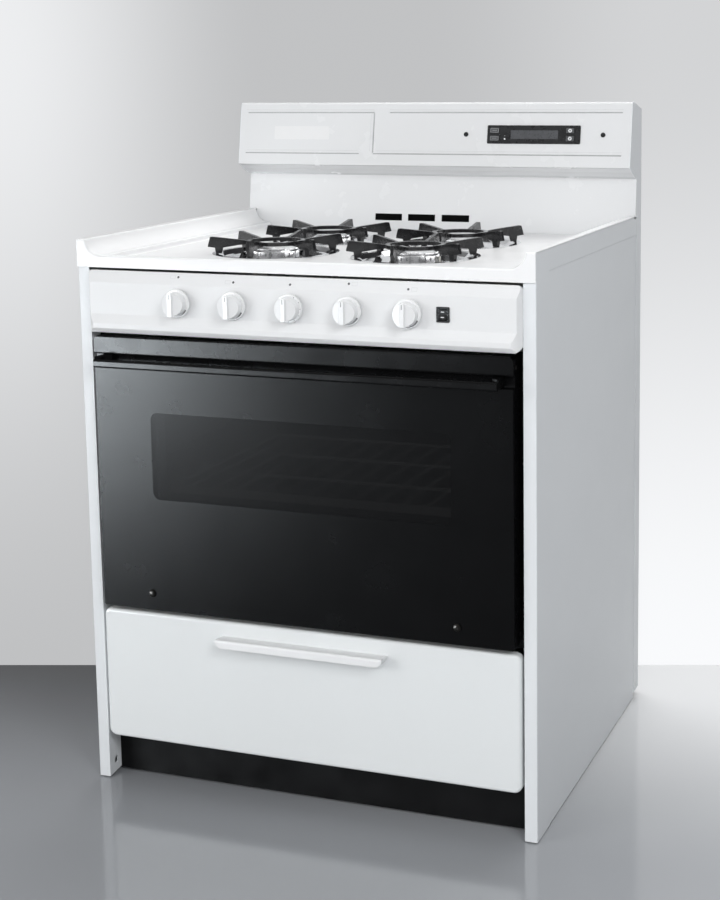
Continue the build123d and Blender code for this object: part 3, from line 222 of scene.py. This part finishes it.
M["black_plastic"] = surface("black_plastic", (0.014, 0.014, 0.015), 0.28, vary=0.15, vary_scale=30, rough_vary=0.06, rough_scale=80, bump=0.10,
                             bump_scale=900, bump_dist=0.0001, edge=0.0005, edge_col=(0.06, 0.06, 0.06))
M["button"] = surface("button_plastic", (0.07, 0.072, 0.075), 0.42, vary=0.12, vary_scale=80, rough_vary=0.06, rough_scale=200, bump=0.2,
                      bump_scale=1400, bump_dist=0.0001, edge=0.0005, edge_col=(0.16, 0.16, 0.16))
M["print_dark"] = surface("printed_grey", (0.10, 0.10, 0.105), 0.45, vary=0.25, vary_scale=400, rough_vary=0.08, rough_scale=300, bump=0.1,
                          bump_scale=1500, bump_dist=0.00005, edge=0)
M["print_light"] = surface("printed_light", (0.72, 0.73, 0.74), 0.45, vary=0.08, vary_scale=400, rough_vary=0.08, rough_scale=300, bump=0.1,
                           bump_scale=1500, bump_dist=0.00005, edge=0)
M["print_dark_light"] = surface("printed_mid_grey", (0.24, 0.245, 0.25), 0.45, vary=0.1, vary_scale=400, rough_vary=0.08, rough_scale=300,
                                bump=0.1, bump_scale=1500, bump_dist=0.00005, edge=0)
# painted shade: grey for the backguard groove floors
M["groove_shade_grey"] = surface("groove_shadow", (0.40, 0.405, 0.41), 0.5, vary=0.06, vary_scale=90, rough_vary=0.06, rough_scale=300, bump=0.1,
                         bump_scale=1500, bump_dist=0.00005, edge=0)
# line_faint: painted shade on the backguard's side lines, print on the burner locator frames
M["line_faint"] = surface("line_faint", (0.66, 0.665, 0.67), 0.45, vary=0.04, vary_scale=90, rough_vary=0.06, rough_scale=300, bump=0.1,
                          bump_scale=1500, bump_dist=0.00005, edge=0)
M["plate"] = surface("bare_name_plate", (0.83, 0.832, 0.835), 0.26, vary=0.004, vary_scale=60, rough_vary=0.01, rough_scale=200, bump=0.0,
                     bump_scale=900, bump_dist=0.0001, edge=0)
M["lcd_face"] = surface("display_face", (0.075, 0.077, 0.083), 0.30, vary=0.10, vary_scale=120, rough_vary=0.05, rough_scale=300, bump=0.05,
                        bump_scale=1500, bump_dist=0.00005, edge=0)
M["screw"] = surface("dark_screw", (0.035, 0.033, 0.031), 0.36, metallic=1.0, vary=0.2, vary_scale=200, rough_vary=0.1, rough_scale=300, bump=0.1,
                     bump_scale=900, bump_dist=0.0001, edge=0.0004, edge_col=(0.3, 0.3, 0.3))


def window_mask(nt, x0, x1, z0, z1, r, soft=0.0006):
    """1 inside a rounded rectangle seen from the front, from the object's own X and Z."""
    tc = nt.nodes.new("ShaderNodeTexCoord")
    sep = nt.nodes.new("ShaderNodeSeparateXYZ")
    nt.links.new(tc.outputs["Object"], sep.inputs[0])
    cx, cz, hx, hz = (x0 + x1) / 2, (z0 + z1) / 2, (x1 - x0) / 2, (z1 - z0) / 2
    qx = math_node(nt, "SUBTRACT", math_node(nt, "ABSOLUTE", math_node(nt, "SUBTRACT", sep.outputs[0], cx)), hx - r)
    qz = math_node(nt, "SUBTRACT", math_node(nt, "ABSOLUTE", math_node(nt, "SUBTRACT", sep.outputs[2], cz)), hz - r)
    mx = math_node(nt, "MAXIMUM", qx, 0.0)
    mz = math_node(nt, "MAXIMUM", qz, 0.0)
    ln = math_node(nt, "SQRT", math_node(nt, "ADD", math_node(nt, "MULTIPLY", mx, mx), math_node(nt, "MULTIPLY", mz, mz)))
    inner = math_node(nt, "MINIMUM", math_node(nt, "MAXIMUM", qx, qz), 0.0)
    d = math_node(nt, "SUBTRACT", math_node(nt, "ADD", ln, inner), r)
    return remap(nt, d, 1, 0, -soft, soft)


def door_glass_mat():
    """Black-backed glass with a clear, dark-tinted window."""
    m, nt, b, out = new_mat("door_glass_printed")
    vec = coords(nt)
    mask = window_mask(nt, -0.252, 0.252, 0.488, 0.628, 0.012)
    base = mix_col(nt, remap(nt, noise(nt, vec, 7, 4), 0, 1, 0.3, 0.7), (0.0016, 0.0016, 0.0018), (0.0024, 0.0024, 0.0027))
    base = mix_col(nt, mask, base, (0.004, 0.004, 0.0043))
    nt.links.new(base, b.inputs["Base Color"])
    nt.links.new(remap(nt, noise(nt, vec, 14, 5), 0.255, 0.277, 0.3, 0.7), b.inputs["Roughness"])
    b.inputs["IOR"].default_value = 1.20
    alpha = remap(nt, mask, 1.0, 0.76)
    nt.links.new(alpha, b.inputs["Alpha"])
    bn = nt.nodes.new("ShaderNodeBump")
    bn.inputs["Strength"].default_value = 0.015
    bn.inputs["Distance"].default_value = 0.0004
    nt.links.new(noise(nt, vec, 9, 2), bn.inputs["Height"])
    nt.links.new(bn.outputs[0], b.inputs["Normal"])
    return m


M["door_glass"] = door_glass_mat()


def clear_glass():
    m, nt, b, out = new_mat("clear_pane")
    vec = coords(nt)
    nt.links.new(mix_col(nt, remap(nt, noise(nt, vec, 10, 3), 0, 1, 0.3, 0.7), (0.30, 0.32, 0.31), (0.36, 0.38, 0.37)), b.inputs["Base Color"])
    nt.links.new(remap(nt, noise(nt, vec, 30, 4), 0.04, 0.10, 0.3, 0.7), b.inputs["Roughness"])
    b.inputs["Alpha"].default_value = 0.12
    b.inputs["IOR"].default_value = 1.5
    return m


M["clear_glass"] = clear_glass()


def lcd_mat():
    m, nt, b, out = new_mat("display_window")
    vec = coords(nt)
    nt.links.new(mix_col(nt, remap(nt, noise(nt, vec, 60, 3), 0, 1, 0.3, 0.7), (0.030, 0.034, 0.036), (0.042, 0.048, 0.050)), b.inputs["Base Color"])
    nt.links.new(remap(nt, noise(nt, vec, 90, 3), 0.05, 0.12, 0.3, 0.7), b.inputs["Roughness"])
    b.inputs["IOR"].default_value = 1.5
    return m


M["lcd"] = lcd_mat()

ASSIGN = {
    "side_panel_left": "white_shaded_side", "side_panel_right": "white_shaded_side", "back_panel": "white_shaded_side", "cooktop": "white_lit_top",
    "control_panel": "white_shaded_panel", "drawer_front": "white", "backguard_riser": "white_shaded_guard", "backguard_console": "white_shaded_guard",
    "backguard_end_caps": "white_shaded_side", "drawer_pull": "white_plastic", "knob_left_outer": "white_plastic",
    "knob_left_inner": "white_plastic", "knob_oven": "white_plastic", "knob_right_inner": "white_plastic",
    "knob_right_outer": "white_plastic", "door_frame": "black", "front_frame": "black", "toe_kick": "toe",
    "door_handle": "black_bar", "door_liner": "oven", "door_glass": "door_glass", "door_window": "clear_glass",
    "door_gasket": "gasket", "door_hinge_arms": "zinc", "door_screws": "screw", "oven_wrapper": "oven",
    "oven_back_liner": "oven", "oven_floor": "oven", "oven_insulation": "wool", "oven_burner": "steel",
    "oven_rack": "chrome_wire_glow", "base_frame": "zinc", "levelling_legs": "zinc", "drawer_rails": "zinc",
    "drawer_box": "zinc", "hinge_brackets": "zinc", "gas_manifold": "steel", "burner_valves": "brass",
    "oven_thermostat": "aluminium", "venturi_tubes": "aluminium", "burner_heads": "cap", "gas_regulator": "aluminium",
    "stem_left_outer": "steel", "stem_left_inner": "steel", "stem_right_inner": "steel", "stem_right_outer": "steel",
    "spark_electrodes": "ceramic", "clock_module": "black_plastic", "switch_housing": "black_plastic", "rocker": "black_plastic",
    "cord_gland": "black_plastic", "clock_button_1": "button", "clock_button_2": "button", "clock_button_3": "button",
    "clock_button_4": "button", "drip_bowls": "chrome", "grate_front_left": "grate", "grate_front_right": "grate",
    "grate_rear_left": "grate", "grate_rear_right": "grate",
}
for node, key in ASSIGN.items():
    o = NODES[node]
    o.data.materials.clear()
    o.data.materials.append(M[key])

# ----------------------------------------------------------------- mesh helpers
def obj_from_bm(name, bm, mat, body, smooth=True, angle=35):
    me = bpy.data.meshes.new(name)
    bm.normal_update()
    bm.to_mesh(me)
    bm.free()
    o = bpy.data.objects.new(name, me)
    bpy.context.scene.collection.objects.link(o)
    me.materials.append(M[mat])
    if smooth:
        me.shade_smooth()
        me.set_sharp_from_angle(angle=math.radians(angle))
    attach(o, body)
    return o


def add_prism(bm, pts, mat4, h0, h1):
    """Closed prism over a 2-D outline, its local XY given, between local heights h0 and h1, placed by mat4."""
    lo = [bm.verts.new(mat4 @ Vector((x, y, h0))) for x, y in pts]
    hi = [bm.verts.new(mat4 @ Vector((x, y, h1))) for x, y in pts]
    n = len(pts)
    bm.faces.new(lo[::-1])
    bm.faces.new(hi)
    for i in range(n):
        bm.faces.new((lo[i], lo[(i + 1) % n], hi[(i + 1) % n], hi[i]))


def circle_pts(cx, cy, r, n=16):
    return [(cx + r * math.cos(2 * math.pi * i / n), cy + r * math.sin(2 * math.pi * i / n)) for i in range(n)]


def rect_pts(cx, cy, w, h):
    return [(cx - w / 2, cy - h / 2), (cx + w / 2, cy - h / 2), (cx + w / 2, cy + h / 2), (cx - w / 2, cy + h / 2)]


def arc_band(cx, cy, r, a0, a1, w0, w1, n=14):
    """A curved band of width w0 to w1, angles in degrees."""
    outer, inner = [], []
    for i in range(n + 1):
        t = i / n
        a = math.radians(a0 + (a1 - a0) * t)
        w = w0 + (w1 - w0) * t
        outer.append((cx + (r + w / 2) * math.cos(a), cy + (r + w / 2) * math.sin(a)))
        inner.append((cx + (r - w / 2) * math.cos(a), cy + (r - w / 2) * math.sin(a)))
    return outer + inner[::-1] if a1 > a0 else inner + outer[::-1]


def front_frame(y):
    """Local x is +X, local y is +Z, local z points to the user."""
    return Matrix(((1, 0, 0, 0), (0, 0, -1, y), (0, 1, 0, 0), (0, 0, 0, 1)))


# ----------------------------------------------------------------- printed marks and small parts
LEAN = math.atan2(20.0, 113.5)


def face_frame(x, up, h):
    """On the leaning backguard face, millimetres: local x is +X, local y runs up the face, local z is outward."""
    o = Vector((x, YF * 1000 + 565 + up * math.sin(LEAN) - h * math.cos(LEAN), 1044.25 + up * math.cos(LEAN) + h * math.sin(LEAN)))
    c, sn = math.cos(LEAN), math.sin(LEAN)
    return Matrix(((0.001, 0, 0, o.x * 0.001), (0, 0.001 * sn, -0.001 * c, o.y * 0.001), (0, 0.001 * c, 0.001 * sn, o.z * 0.001), (0, 0, 0, 1)))


def mm_front(x, v, z):
    """Upright local frame in millimetres facing the user."""
    return Matrix(((0.001, 0, 0, x * 0.001), (0, 0, -0.001, yy(v)), (0, 0.001, 0, z * 0.001), (0, 0, 0, 1)))


def flat(name, outlines, mat4, h0, h1, mat, body):
    bm = bmesh.new()
    for pts in outlines:
        add_prism(bm, pts, mat4, h0, h1)
    return obj_from_bm(name, bm, mat, body, smooth=False)


def ring_quads(cx, cy, w, h, t):
    """Four bars that outline a rectangle."""
    return [rect_pts(cx, cy + h / 2 - t / 2, w, t), rect_pts(cx, cy - h / 2 + t / 2, w, t),
            rect_pts(cx - w / 2 + t / 2, cy, t, h - 2 * t), rect_pts(cx + w / 2 - t / 2, cy, t, h - 2 * t)]


# pressed lines of the backguard: painted shade, a grey strip on each groove floor standing in for the groove's shade,
# and a fainter painted shade line beside each groove
F0 = face_frame(0, 0, 0)
flat("backguard_groove_floor", [
    rect_pts(-236, 39.5, 259, 1.7), rect_pts(-106.5, 2, 1.7, 73), rect_pts(-251, -36.5, 233, 1.7),
    rect_pts(144, 39.5, 439, 1.7), rect_pts(129, -36.5, 470, 1.7)], F0, -0.89, -0.80, "groove_shade_grey", "cabinet")
flat("backguard_side_shade_lines", [
    rect_pts(-238, 45.0, 262, 0.9), rect_pts(-112.5, 2, 0.9, 68), rect_pts(-251, -31.0, 228, 0.9),
    rect_pts(144, 45.0, 441, 0.9), rect_pts(133, -31.0, 464, 0.9)], F0, -0.02, 0.10, "line_faint", "cabinet")
flat("bare_name_plate", [rect_pts(-252, 1.5, 112, 25)], F0, -0.02, 0.30, "plate", "cabinet")

# clock: display, outlined keys, lamp, arrows
CX = 202.5
FC = face_frame(CX, 0, 0)
flat("clock_display", [rect_pts(1.5, 0, 88, 15.5)], FC, 1.0, 1.35, "lcd_face", "cabinet")
for i, up in ((1, 7.0), (2, -7.0)):
    flat(f"key_outline_{i}", ring_quads(-72.5, up, 15.2, 7.4, 0.7) + [rect_pts(-72.5, up, 8.5, 1.0)], FC, 3.38, 3.45, "print_dark_light", f"button_{i}")
flat("clock_lamp", [circle_pts(-53.5, -8, 1.5, 18)], FC, 1.75, 2.1, "print_light", "cabinet")
flat("clock_lamp_2", [circle_pts(-53.5, -2.5, 0.9, 14)], FC, 1.75, 1.95, "print_dark_light", "cabinet")
for i, up, sgn in ((3, 7.0, 1), (4, -7.0, -1)):
    flat(f"arrow_disc_{i}", [circle_pts(68.0, up, 3.4, 28)], FC, 3.38, 3.46, "print_light", f"button_{i}")
    tri = [(68.0 - 1.9, up - 1.2 * sgn), (68.0 + 1.9, up - 1.2 * sgn), (68.0, up + 2.0 * sgn)]
    flat(f"arrow_{i}", [tri if sgn > 0 else tri[::-1]], FC, 3.45, 3.52, "print_dark", f"button_{i}")

# knobs: pointer line on the ridge, tapered flame arc on the skirt, ticks on the oven dial
KNOBS = (("left_outer_knob", -196.0), ("left_inner_knob", -100.0), ("oven_dial", -4.0), ("right_inner_knob", 92.0), ("right_outer_knob", 188.0))
for body, kx in KNOBS:
    flat(body + "_pointer", [rect_pts(0, 12.5, 1.0, 7.0)], mm_front(kx, -40.5, 805.0), -0.02, 0.06, "print_dark", body)
    face = mm_front(kx, -20.5, 805.0)
    if body == "oven_dial":
        marks = []
        for k in range(10):
            ang = math.radians(60 - 30 * k)
            cx, cy = 20.0 * math.cos(ang), 20.0 * math.sin(ang)
            tx, ty = -math.sin(ang), math.cos(ang)
            rx, ry = math.cos(ang), math.sin(ang)
            w, l = 0.35, 0.85
            marks.append([(cx + tx * a * w + rx * b * l, cy + ty * a * w + ry * b * l) for a, b in ((1, -1), (1, 1), (-1, 1), (-1, -1))][::-1])
        flat(body + "_ticks", marks, face, -0.02, 0.06, "print_dark", body)
    else:
        flat(body + "_flame_arc", [arc_band(0, 0, 19.7, -118, -28, 0.5, 2.1, 22)], face, -0.02, 0.06, "print_dark", body)

# burner locator marks on the sloped top of the panel
SLOPE = math.atan2(8.0, 18.0)


def slope_frame(x, z):
    t = (z - 833.0) / 18.0
    c, sn = math.cos(SLOPE), math.sin(SLOPE)
    return Matrix(((0.001, 0, 0, x * 0.001), (0, 0.001 * sn, -0.001 * c, yy(-11.0 + 8.0 * t)), (0, 0.001 * c, 0.001 * sn, z * 0.001), (0, 0, 0, 1)))


# domed covers over the two screws low on the glass
bm = bmesh.new()
for sx in (-260.0, 260.0):
    fr = mm_front(sx, -13.0, 332.0)
    rings = []
    for r, h in ((6.6, -0.05), (6.5, 0.7), (5.9, 1.6), (4.9, 2.4), (3.4, 3.05), (1.7, 3.45)):
        rings.append([bm.verts.new(fr @ Vector((r * math.cos(k * math.tau / 36), r * math.sin(k * math.tau / 36), h))) for k in range(36)])
    for lo_ring, hi_ring in zip(rings, rings[1:]):
        for k in range(36):
            bm.faces.new((lo_ring[k], lo_ring[(k + 1) % 36], hi_ring[(k + 1) % 36], hi_ring[k]))
    bm.faces.new(rings[-1])
    bm.faces.new(rings[0][::-1])
obj_from_bm("door_screw_covers", bm, "screw", "oven_door", smooth=True, angle=50)

for i, (kx, dz) in enumerate(((-196.0, 844.5), (-100.0, 840.0), (-4.0, 840.0), (92.0, 844.5), (188.0, 840.0))):
    fr = slope_frame(kx - 1.5, dz)
    flat(f"burner_dot_{i}", [circle_pts(0, 0, 1.9, 22)], fr, -0.03, 0.07, "print_dark", "cabinet")
    if i != 2:
        side = -1 if i < 2 else 1
        flat(f"burner_frame_{i}", ring_quads(side * 9.5, 0, 9.0, 6.0, 0.5), fr, -0.03, 0.05, "line_faint", "cabinet")

# two light marks on the rocker
TILT = math.radians(8)
for name, ly, (ex, ey) in (("rocker_mark_on", 3.9, (-0.186, 0.9826)), ("rocker_mark_off", -3.9, (0.186, 0.9826))):
    lx = -1.2 - 1.4 * abs(ly) / 7.4
    ax = Vector((0, math.cos(TILT), -math.sin(TILT)))
    ay = Vector((0, math.sin(TILT), math.cos(TILT)))
    org = Vector((242.0, YF * 1000 - 12.0, 805.0)) + ax * lx + ay * ly
    up = ax * ex + ay * ey
    out = ax * (-ey) + ay * ex
    if out.y > 0:
        out = -out
    m4 = Matrix(((0.001, up.x * 0.001, out.x * 0.001, org.x * 0.001), (0, up.y * 0.001, out.y * 0.001, org.y * 0.001),
                 (0, up.z * 0.001, out.z * 0.001, org.z * 0.001), (0, 0, 0, 1)))
    flat(name, [rect_pts(0, 0, 5.4, 1.3)], m4, -0.03, 0.10, "print_light", "light_rocker")

# painted shade: a dark sheet behind the vent slots of the riser, put where there is only shade
flat("vent_shade_sheet", [rect_pts(-25, 888.5, 206, 19)], mm_front(0, 600, 0), 0, 1.0, "shade_black", "cabinet")

# ----------------------------------------------------------------- camera
cam_data = bpy.data.cameras.new("camera")
cam = bpy.data.objects.new("camera", cam_data)
bpy.context.scene.collection.objects.link(cam)
cam.location = (1.0598548, -2.4989505, 1.1552730)
cam.rotation_euler = Euler((1.427224, 0.008502, 0.340750), "XYZ")
cam_data.sensor_width = 36.0
cam_data.lens = 1616.6144 / 900 * 36.0
cam_data.shift_x = -0.12
cam_data.shift_y = -0.16
cam_data.clip_start, cam_data.clip_end = 0.05, 60
bpy.context.scene.camera = cam

# ----------------------------------------------------------------- stage and light
VH = Vector((-0.1786, 0.9839, 0))
RH = Vector((0.9839, 0.1786, 0))
EYE = Vector((1.1835, -2.7983, 0))


def floor_mat():
    """Pale satin tabletop with painted light and shade: mid grey in front, painted lighter towards the right rear and
    darker towards the left rear.
    """
    m, nt, b, out = new_mat("studio_floor")
    vec = coords(nt)
    tc = nt.nodes.new("ShaderNodeTexCoord")

    def along(direction, lo, hi):
        d = nt.nodes.new("ShaderNodeVectorMath")
        d.operation = "DOT_PRODUCT"
        nt.links.new(tc.outputs["Object"], d.inputs[0])
        d.inputs[1].default_value = direction
        r = nt.nodes.new("ShaderNodeMapRange")
        r.interpolation_type = "SMOOTHSTEP"
        r.inputs["From Min"].default_value = lo
        r.inputs["From Max"].default_value = hi
        nt.links.new(d.outputs["Value"], r.inputs["Value"])
        return r.outputs[0]

    # painted light and shade: the floor's colour is darker to the left rear and lighter to the right rear, standing in
    # for how the light falls across the table
    back = along(VH, -0.45, 0.35)
    right = along(RH, -0.2, 0.5)
    rear_light_and_shade = mix_col(nt, right, (0.06, 0.061, 0.065), (0.86, 0.865, 0.87))
    tone = mix_col(nt, back, (0.346, 0.358, 0.378), rear_light_and_shade)
    tone = mix_col(nt, remap(nt, noise(nt, vec, 0.8, 3), 0.0, 0.06, 0.3, 0.7), tone, (0.5, 0.5, 0.5))
    nt.links.new(tone, b.inputs["Base Color"])
    nt.links.new(remap(nt, noise(nt, vec, 3, 3), 0.09, 0.12, 0.3, 0.7), b.inputs["Roughness"])
    b.inputs["IOR"].default_value = 1.75
    return m


def stage_mesh(name, verts, faces, mat):
    me = bpy.data.meshes.new(name)
    me.from_pydata([tuple(v) for v in verts], [], faces)
    o = bpy.data.objects.new(name, me)
    bpy.context.scene.collection.objects.link(o)
    me.materials.append(mat)
    return o


# The table top ends at a level line in the camera's picture; behind the range it runs on a little, and past that the ground falls away.
EDGE_A = Vector((-0.85033, 0.08185, 0))
EDGE_B = Vector((0.50111, 0.52718, 0))
ALONG = (EDGE_B - EDGE_A).normalized()
NEAR = Vector((ALONG.y, -ALONG.x, 0))


def on_edge(value, axis):
    """The point of the table's edge whose x (axis 0) or y (axis 1) is the value."""
    return EDGE_A + ALONG * ((value - EDGE_A[axis]) / ALONG[axis])


def slope_mat():
    m, nt, b, out = new_mat("stage_slope")
    vec = coords(nt)
    nt.links.new(mix_col(nt, remap(nt, noise(nt, vec, 0.7, 3), 0, 1, 0.3, 0.7), (0.50, 0.505, 0.51), (0.54, 0.545, 0.55)), b.inputs["Base Color"])
    nt.links.new(remap(nt, noise(nt, vec, 3, 3), 0.5, 0.6, 0.3, 0.7), b.inputs["Roughness"])
    return m


L0, L1, R0 = on_edge(-0.425, 0), Vector((-0.425, 0.401, 0)), on_edge(0.401, 1)
FL, FR = EDGE_A - ALONG * 5, EDGE_B + ALONG * 5
stage_mesh("floor", [FL, L0, L1, R0, FR, FR + NEAR * 9, FL + NEAR * 9], [(6, 5, 4, 3, 2, 1, 0)], floor_mat())
FALL = Vector((0, 0, math.tan(math.radians(33))))
DROP = FALL * 0.18 + Vector((0, 0, 0.02))
stage_mesh("floor_slope", [FL, FR, FR - NEAR * 8 - FALL * 8, FL - NEAR * 8 - FALL * 8, L0, L1, R0, L1 - DROP],
           [(0, 1, 2, 3), (4, 5, 7), (5, 6, 7)], slope_mat())


def area(name, loc, target, size, size_y, power, color=(1, 1, 1), spread=180, glossy=True, diffuse=True):
    d = bpy.data.lights.new(name, "AREA")
    d.shape = "RECTANGLE"
    d.size, d.size_y, d.energy, d.color = size, size_y, power, color
    d.spread = math.radians(spread)
    o = bpy.data.objects.new(name, d)
    o.location = loc
    o.rotation_euler = (Vector(target) - Vector(loc)).to_track_quat("-Z", "Y").to_euler()
    o.visible_glossy = glossy
    o.visible_camera = False
    o.visible_diffuse = diffuse
    bpy.context.scene.collection.objects.link(o)
    return o


area("key_left", (-2.9, -3.4, 1.6), (0, -0.2, 0.7), 2.2, 1.7, 52, (1, 0.997, 0.99), glossy=False)
area("low_card", (-2.835, -2.829, 0.22), (-0.3, -0.31, 0.65), 2.0, 0.36, 255, (0.88, 0.95, 1.0), diffuse=False)
area("overhead", (0.15, 1.1, 2.9), (0.05, 0.05, 0.9), 2.4, 1.6, 42, glossy=False)
area("top_card", (0.0, 0.35, 2.3), (0.0, 0.05, 0.9), 1.3, 0.7, 9, (1, 1, 1), diffuse=False)
area("right_fill", (1.95, -2.1, 2.0), (0.38, -0.25, 0.9), 1.1, 1.0, 31, (0.975, 0.988, 1), glossy=False)
area("front_fill", (1.0, -4.2, 1.6), (0.1, -0.3, 0.6), 2.4, 1.8, 42, (1, 1, 1), glossy=False)

world = bpy.data.worlds.new("studio")
bpy.context.scene.world = world
world.use_nodes = True
wn = world.node_tree
for n in list(wn.nodes):
    wn.nodes.remove(n)
wo = wn.nodes.new("ShaderNodeOutputWorld")
wc = wn.nodes.new("ShaderNodeTexCoord")


def world_along(direction, lo, hi, smooth=True):
    d = wn.nodes.new("ShaderNodeVectorMath")
    d.operation = "DOT_PRODUCT"
    wn.links.new(wc.outputs["Generated"], d.inputs[0])
    d.inputs[1].default_value = direction
    r = wn.nodes.new("ShaderNodeMapRange")
    r.interpolation_type = "SMOOTHSTEP" if smooth else "LINEAR"
    r.inputs["From Min"].default_value = lo
    r.inputs["From Max"].default_value = hi
    wn.links.new(d.outputs["Value"], r.inputs["Value"])
    return r.outputs[0]


def world_mix(f, a, b):
    n = wn.nodes.new("ShaderNodeMix")
    n.data_type = "RGBA"
    wn.links.new(f, n.inputs[0])
    for sock, x in ((n.inputs[6], a), (n.inputs[7], b)):
        if isinstance(x, float):
            sock.default_value = (x * 0.986, x * 0.996, x * 1.012, 1)
        else:
            wn.links.new(x, sock)
    return n.outputs[2]


# The paper sweep behind the table: bright at the upper left and lower right, greyer between.
rise = world_along((0, 0, 1), -0.36, 0.02)
left = world_mix(rise, 0.53, 0.86)
middle = world_mix(rise, 0.54, 0.545)
right = world_mix(rise, 0.965, 0.66)
across_a = world_along(tuple(RH), -0.43, -0.28)
across_b = world_along(tuple(RH), -0.19, -0.04)
sweep = world_mix(across_b, world_mix(across_a, left, middle), right)
bg_cam = wn.nodes.new("ShaderNodeBackground")
wn.links.new(sweep, bg_cam.inputs[0])
bg_light = wn.nodes.new("ShaderNodeBackground")
ambient = world_mix(world_along((0, 0, 1), -0.4, 0.9), 0.30, 0.46)
wn.links.new(world_mix(world_along(tuple(RH), 0.05, 0.75), ambient, 0.13), bg_light.inputs[0])
lp = wn.nodes.new("ShaderNodeLightPath")
mixs = wn.nodes.new("ShaderNodeMixShader")
# the table's mirror image of the sweep: glossy rays that travel to the rear see a version that is dark on the left
bg_gloss = wn.nodes.new("ShaderNodeBackground")
wn.links.new(world_mix(world_along(tuple(RH), -0.40, 0.05), 0.20, 0.97), bg_gloss.inputs[0])
rearward = world_along(tuple(VH), 0.15, 0.55)
seen = wn.nodes.new("ShaderNodeMath")
seen.operation = "MULTIPLY"
wn.links.new(lp.outputs["Is Glossy Ray"], seen.inputs[0])
wn.links.new(rearward, seen.inputs[1])
lit = wn.nodes.new("ShaderNodeMixShader")
wn.links.new(seen.outputs[0], lit.inputs[0])
wn.links.new(bg_light.outputs[0], lit.inputs[1])
wn.links.new(bg_gloss.outputs[0], lit.inputs[2])
wn.links.new(lp.outputs["Is Camera Ray"], mixs.inputs[0])
wn.links.new(lit.outputs[0], mixs.inputs[1])
wn.links.new(bg_cam.outputs[0], mixs.inputs[2])
wn.links.new(mixs.outputs[0], wo.inputs[0])
bpy.context.scene.view_settings.view_transform = "Standard"
bpy.context.scene.view_settings.look = "None"
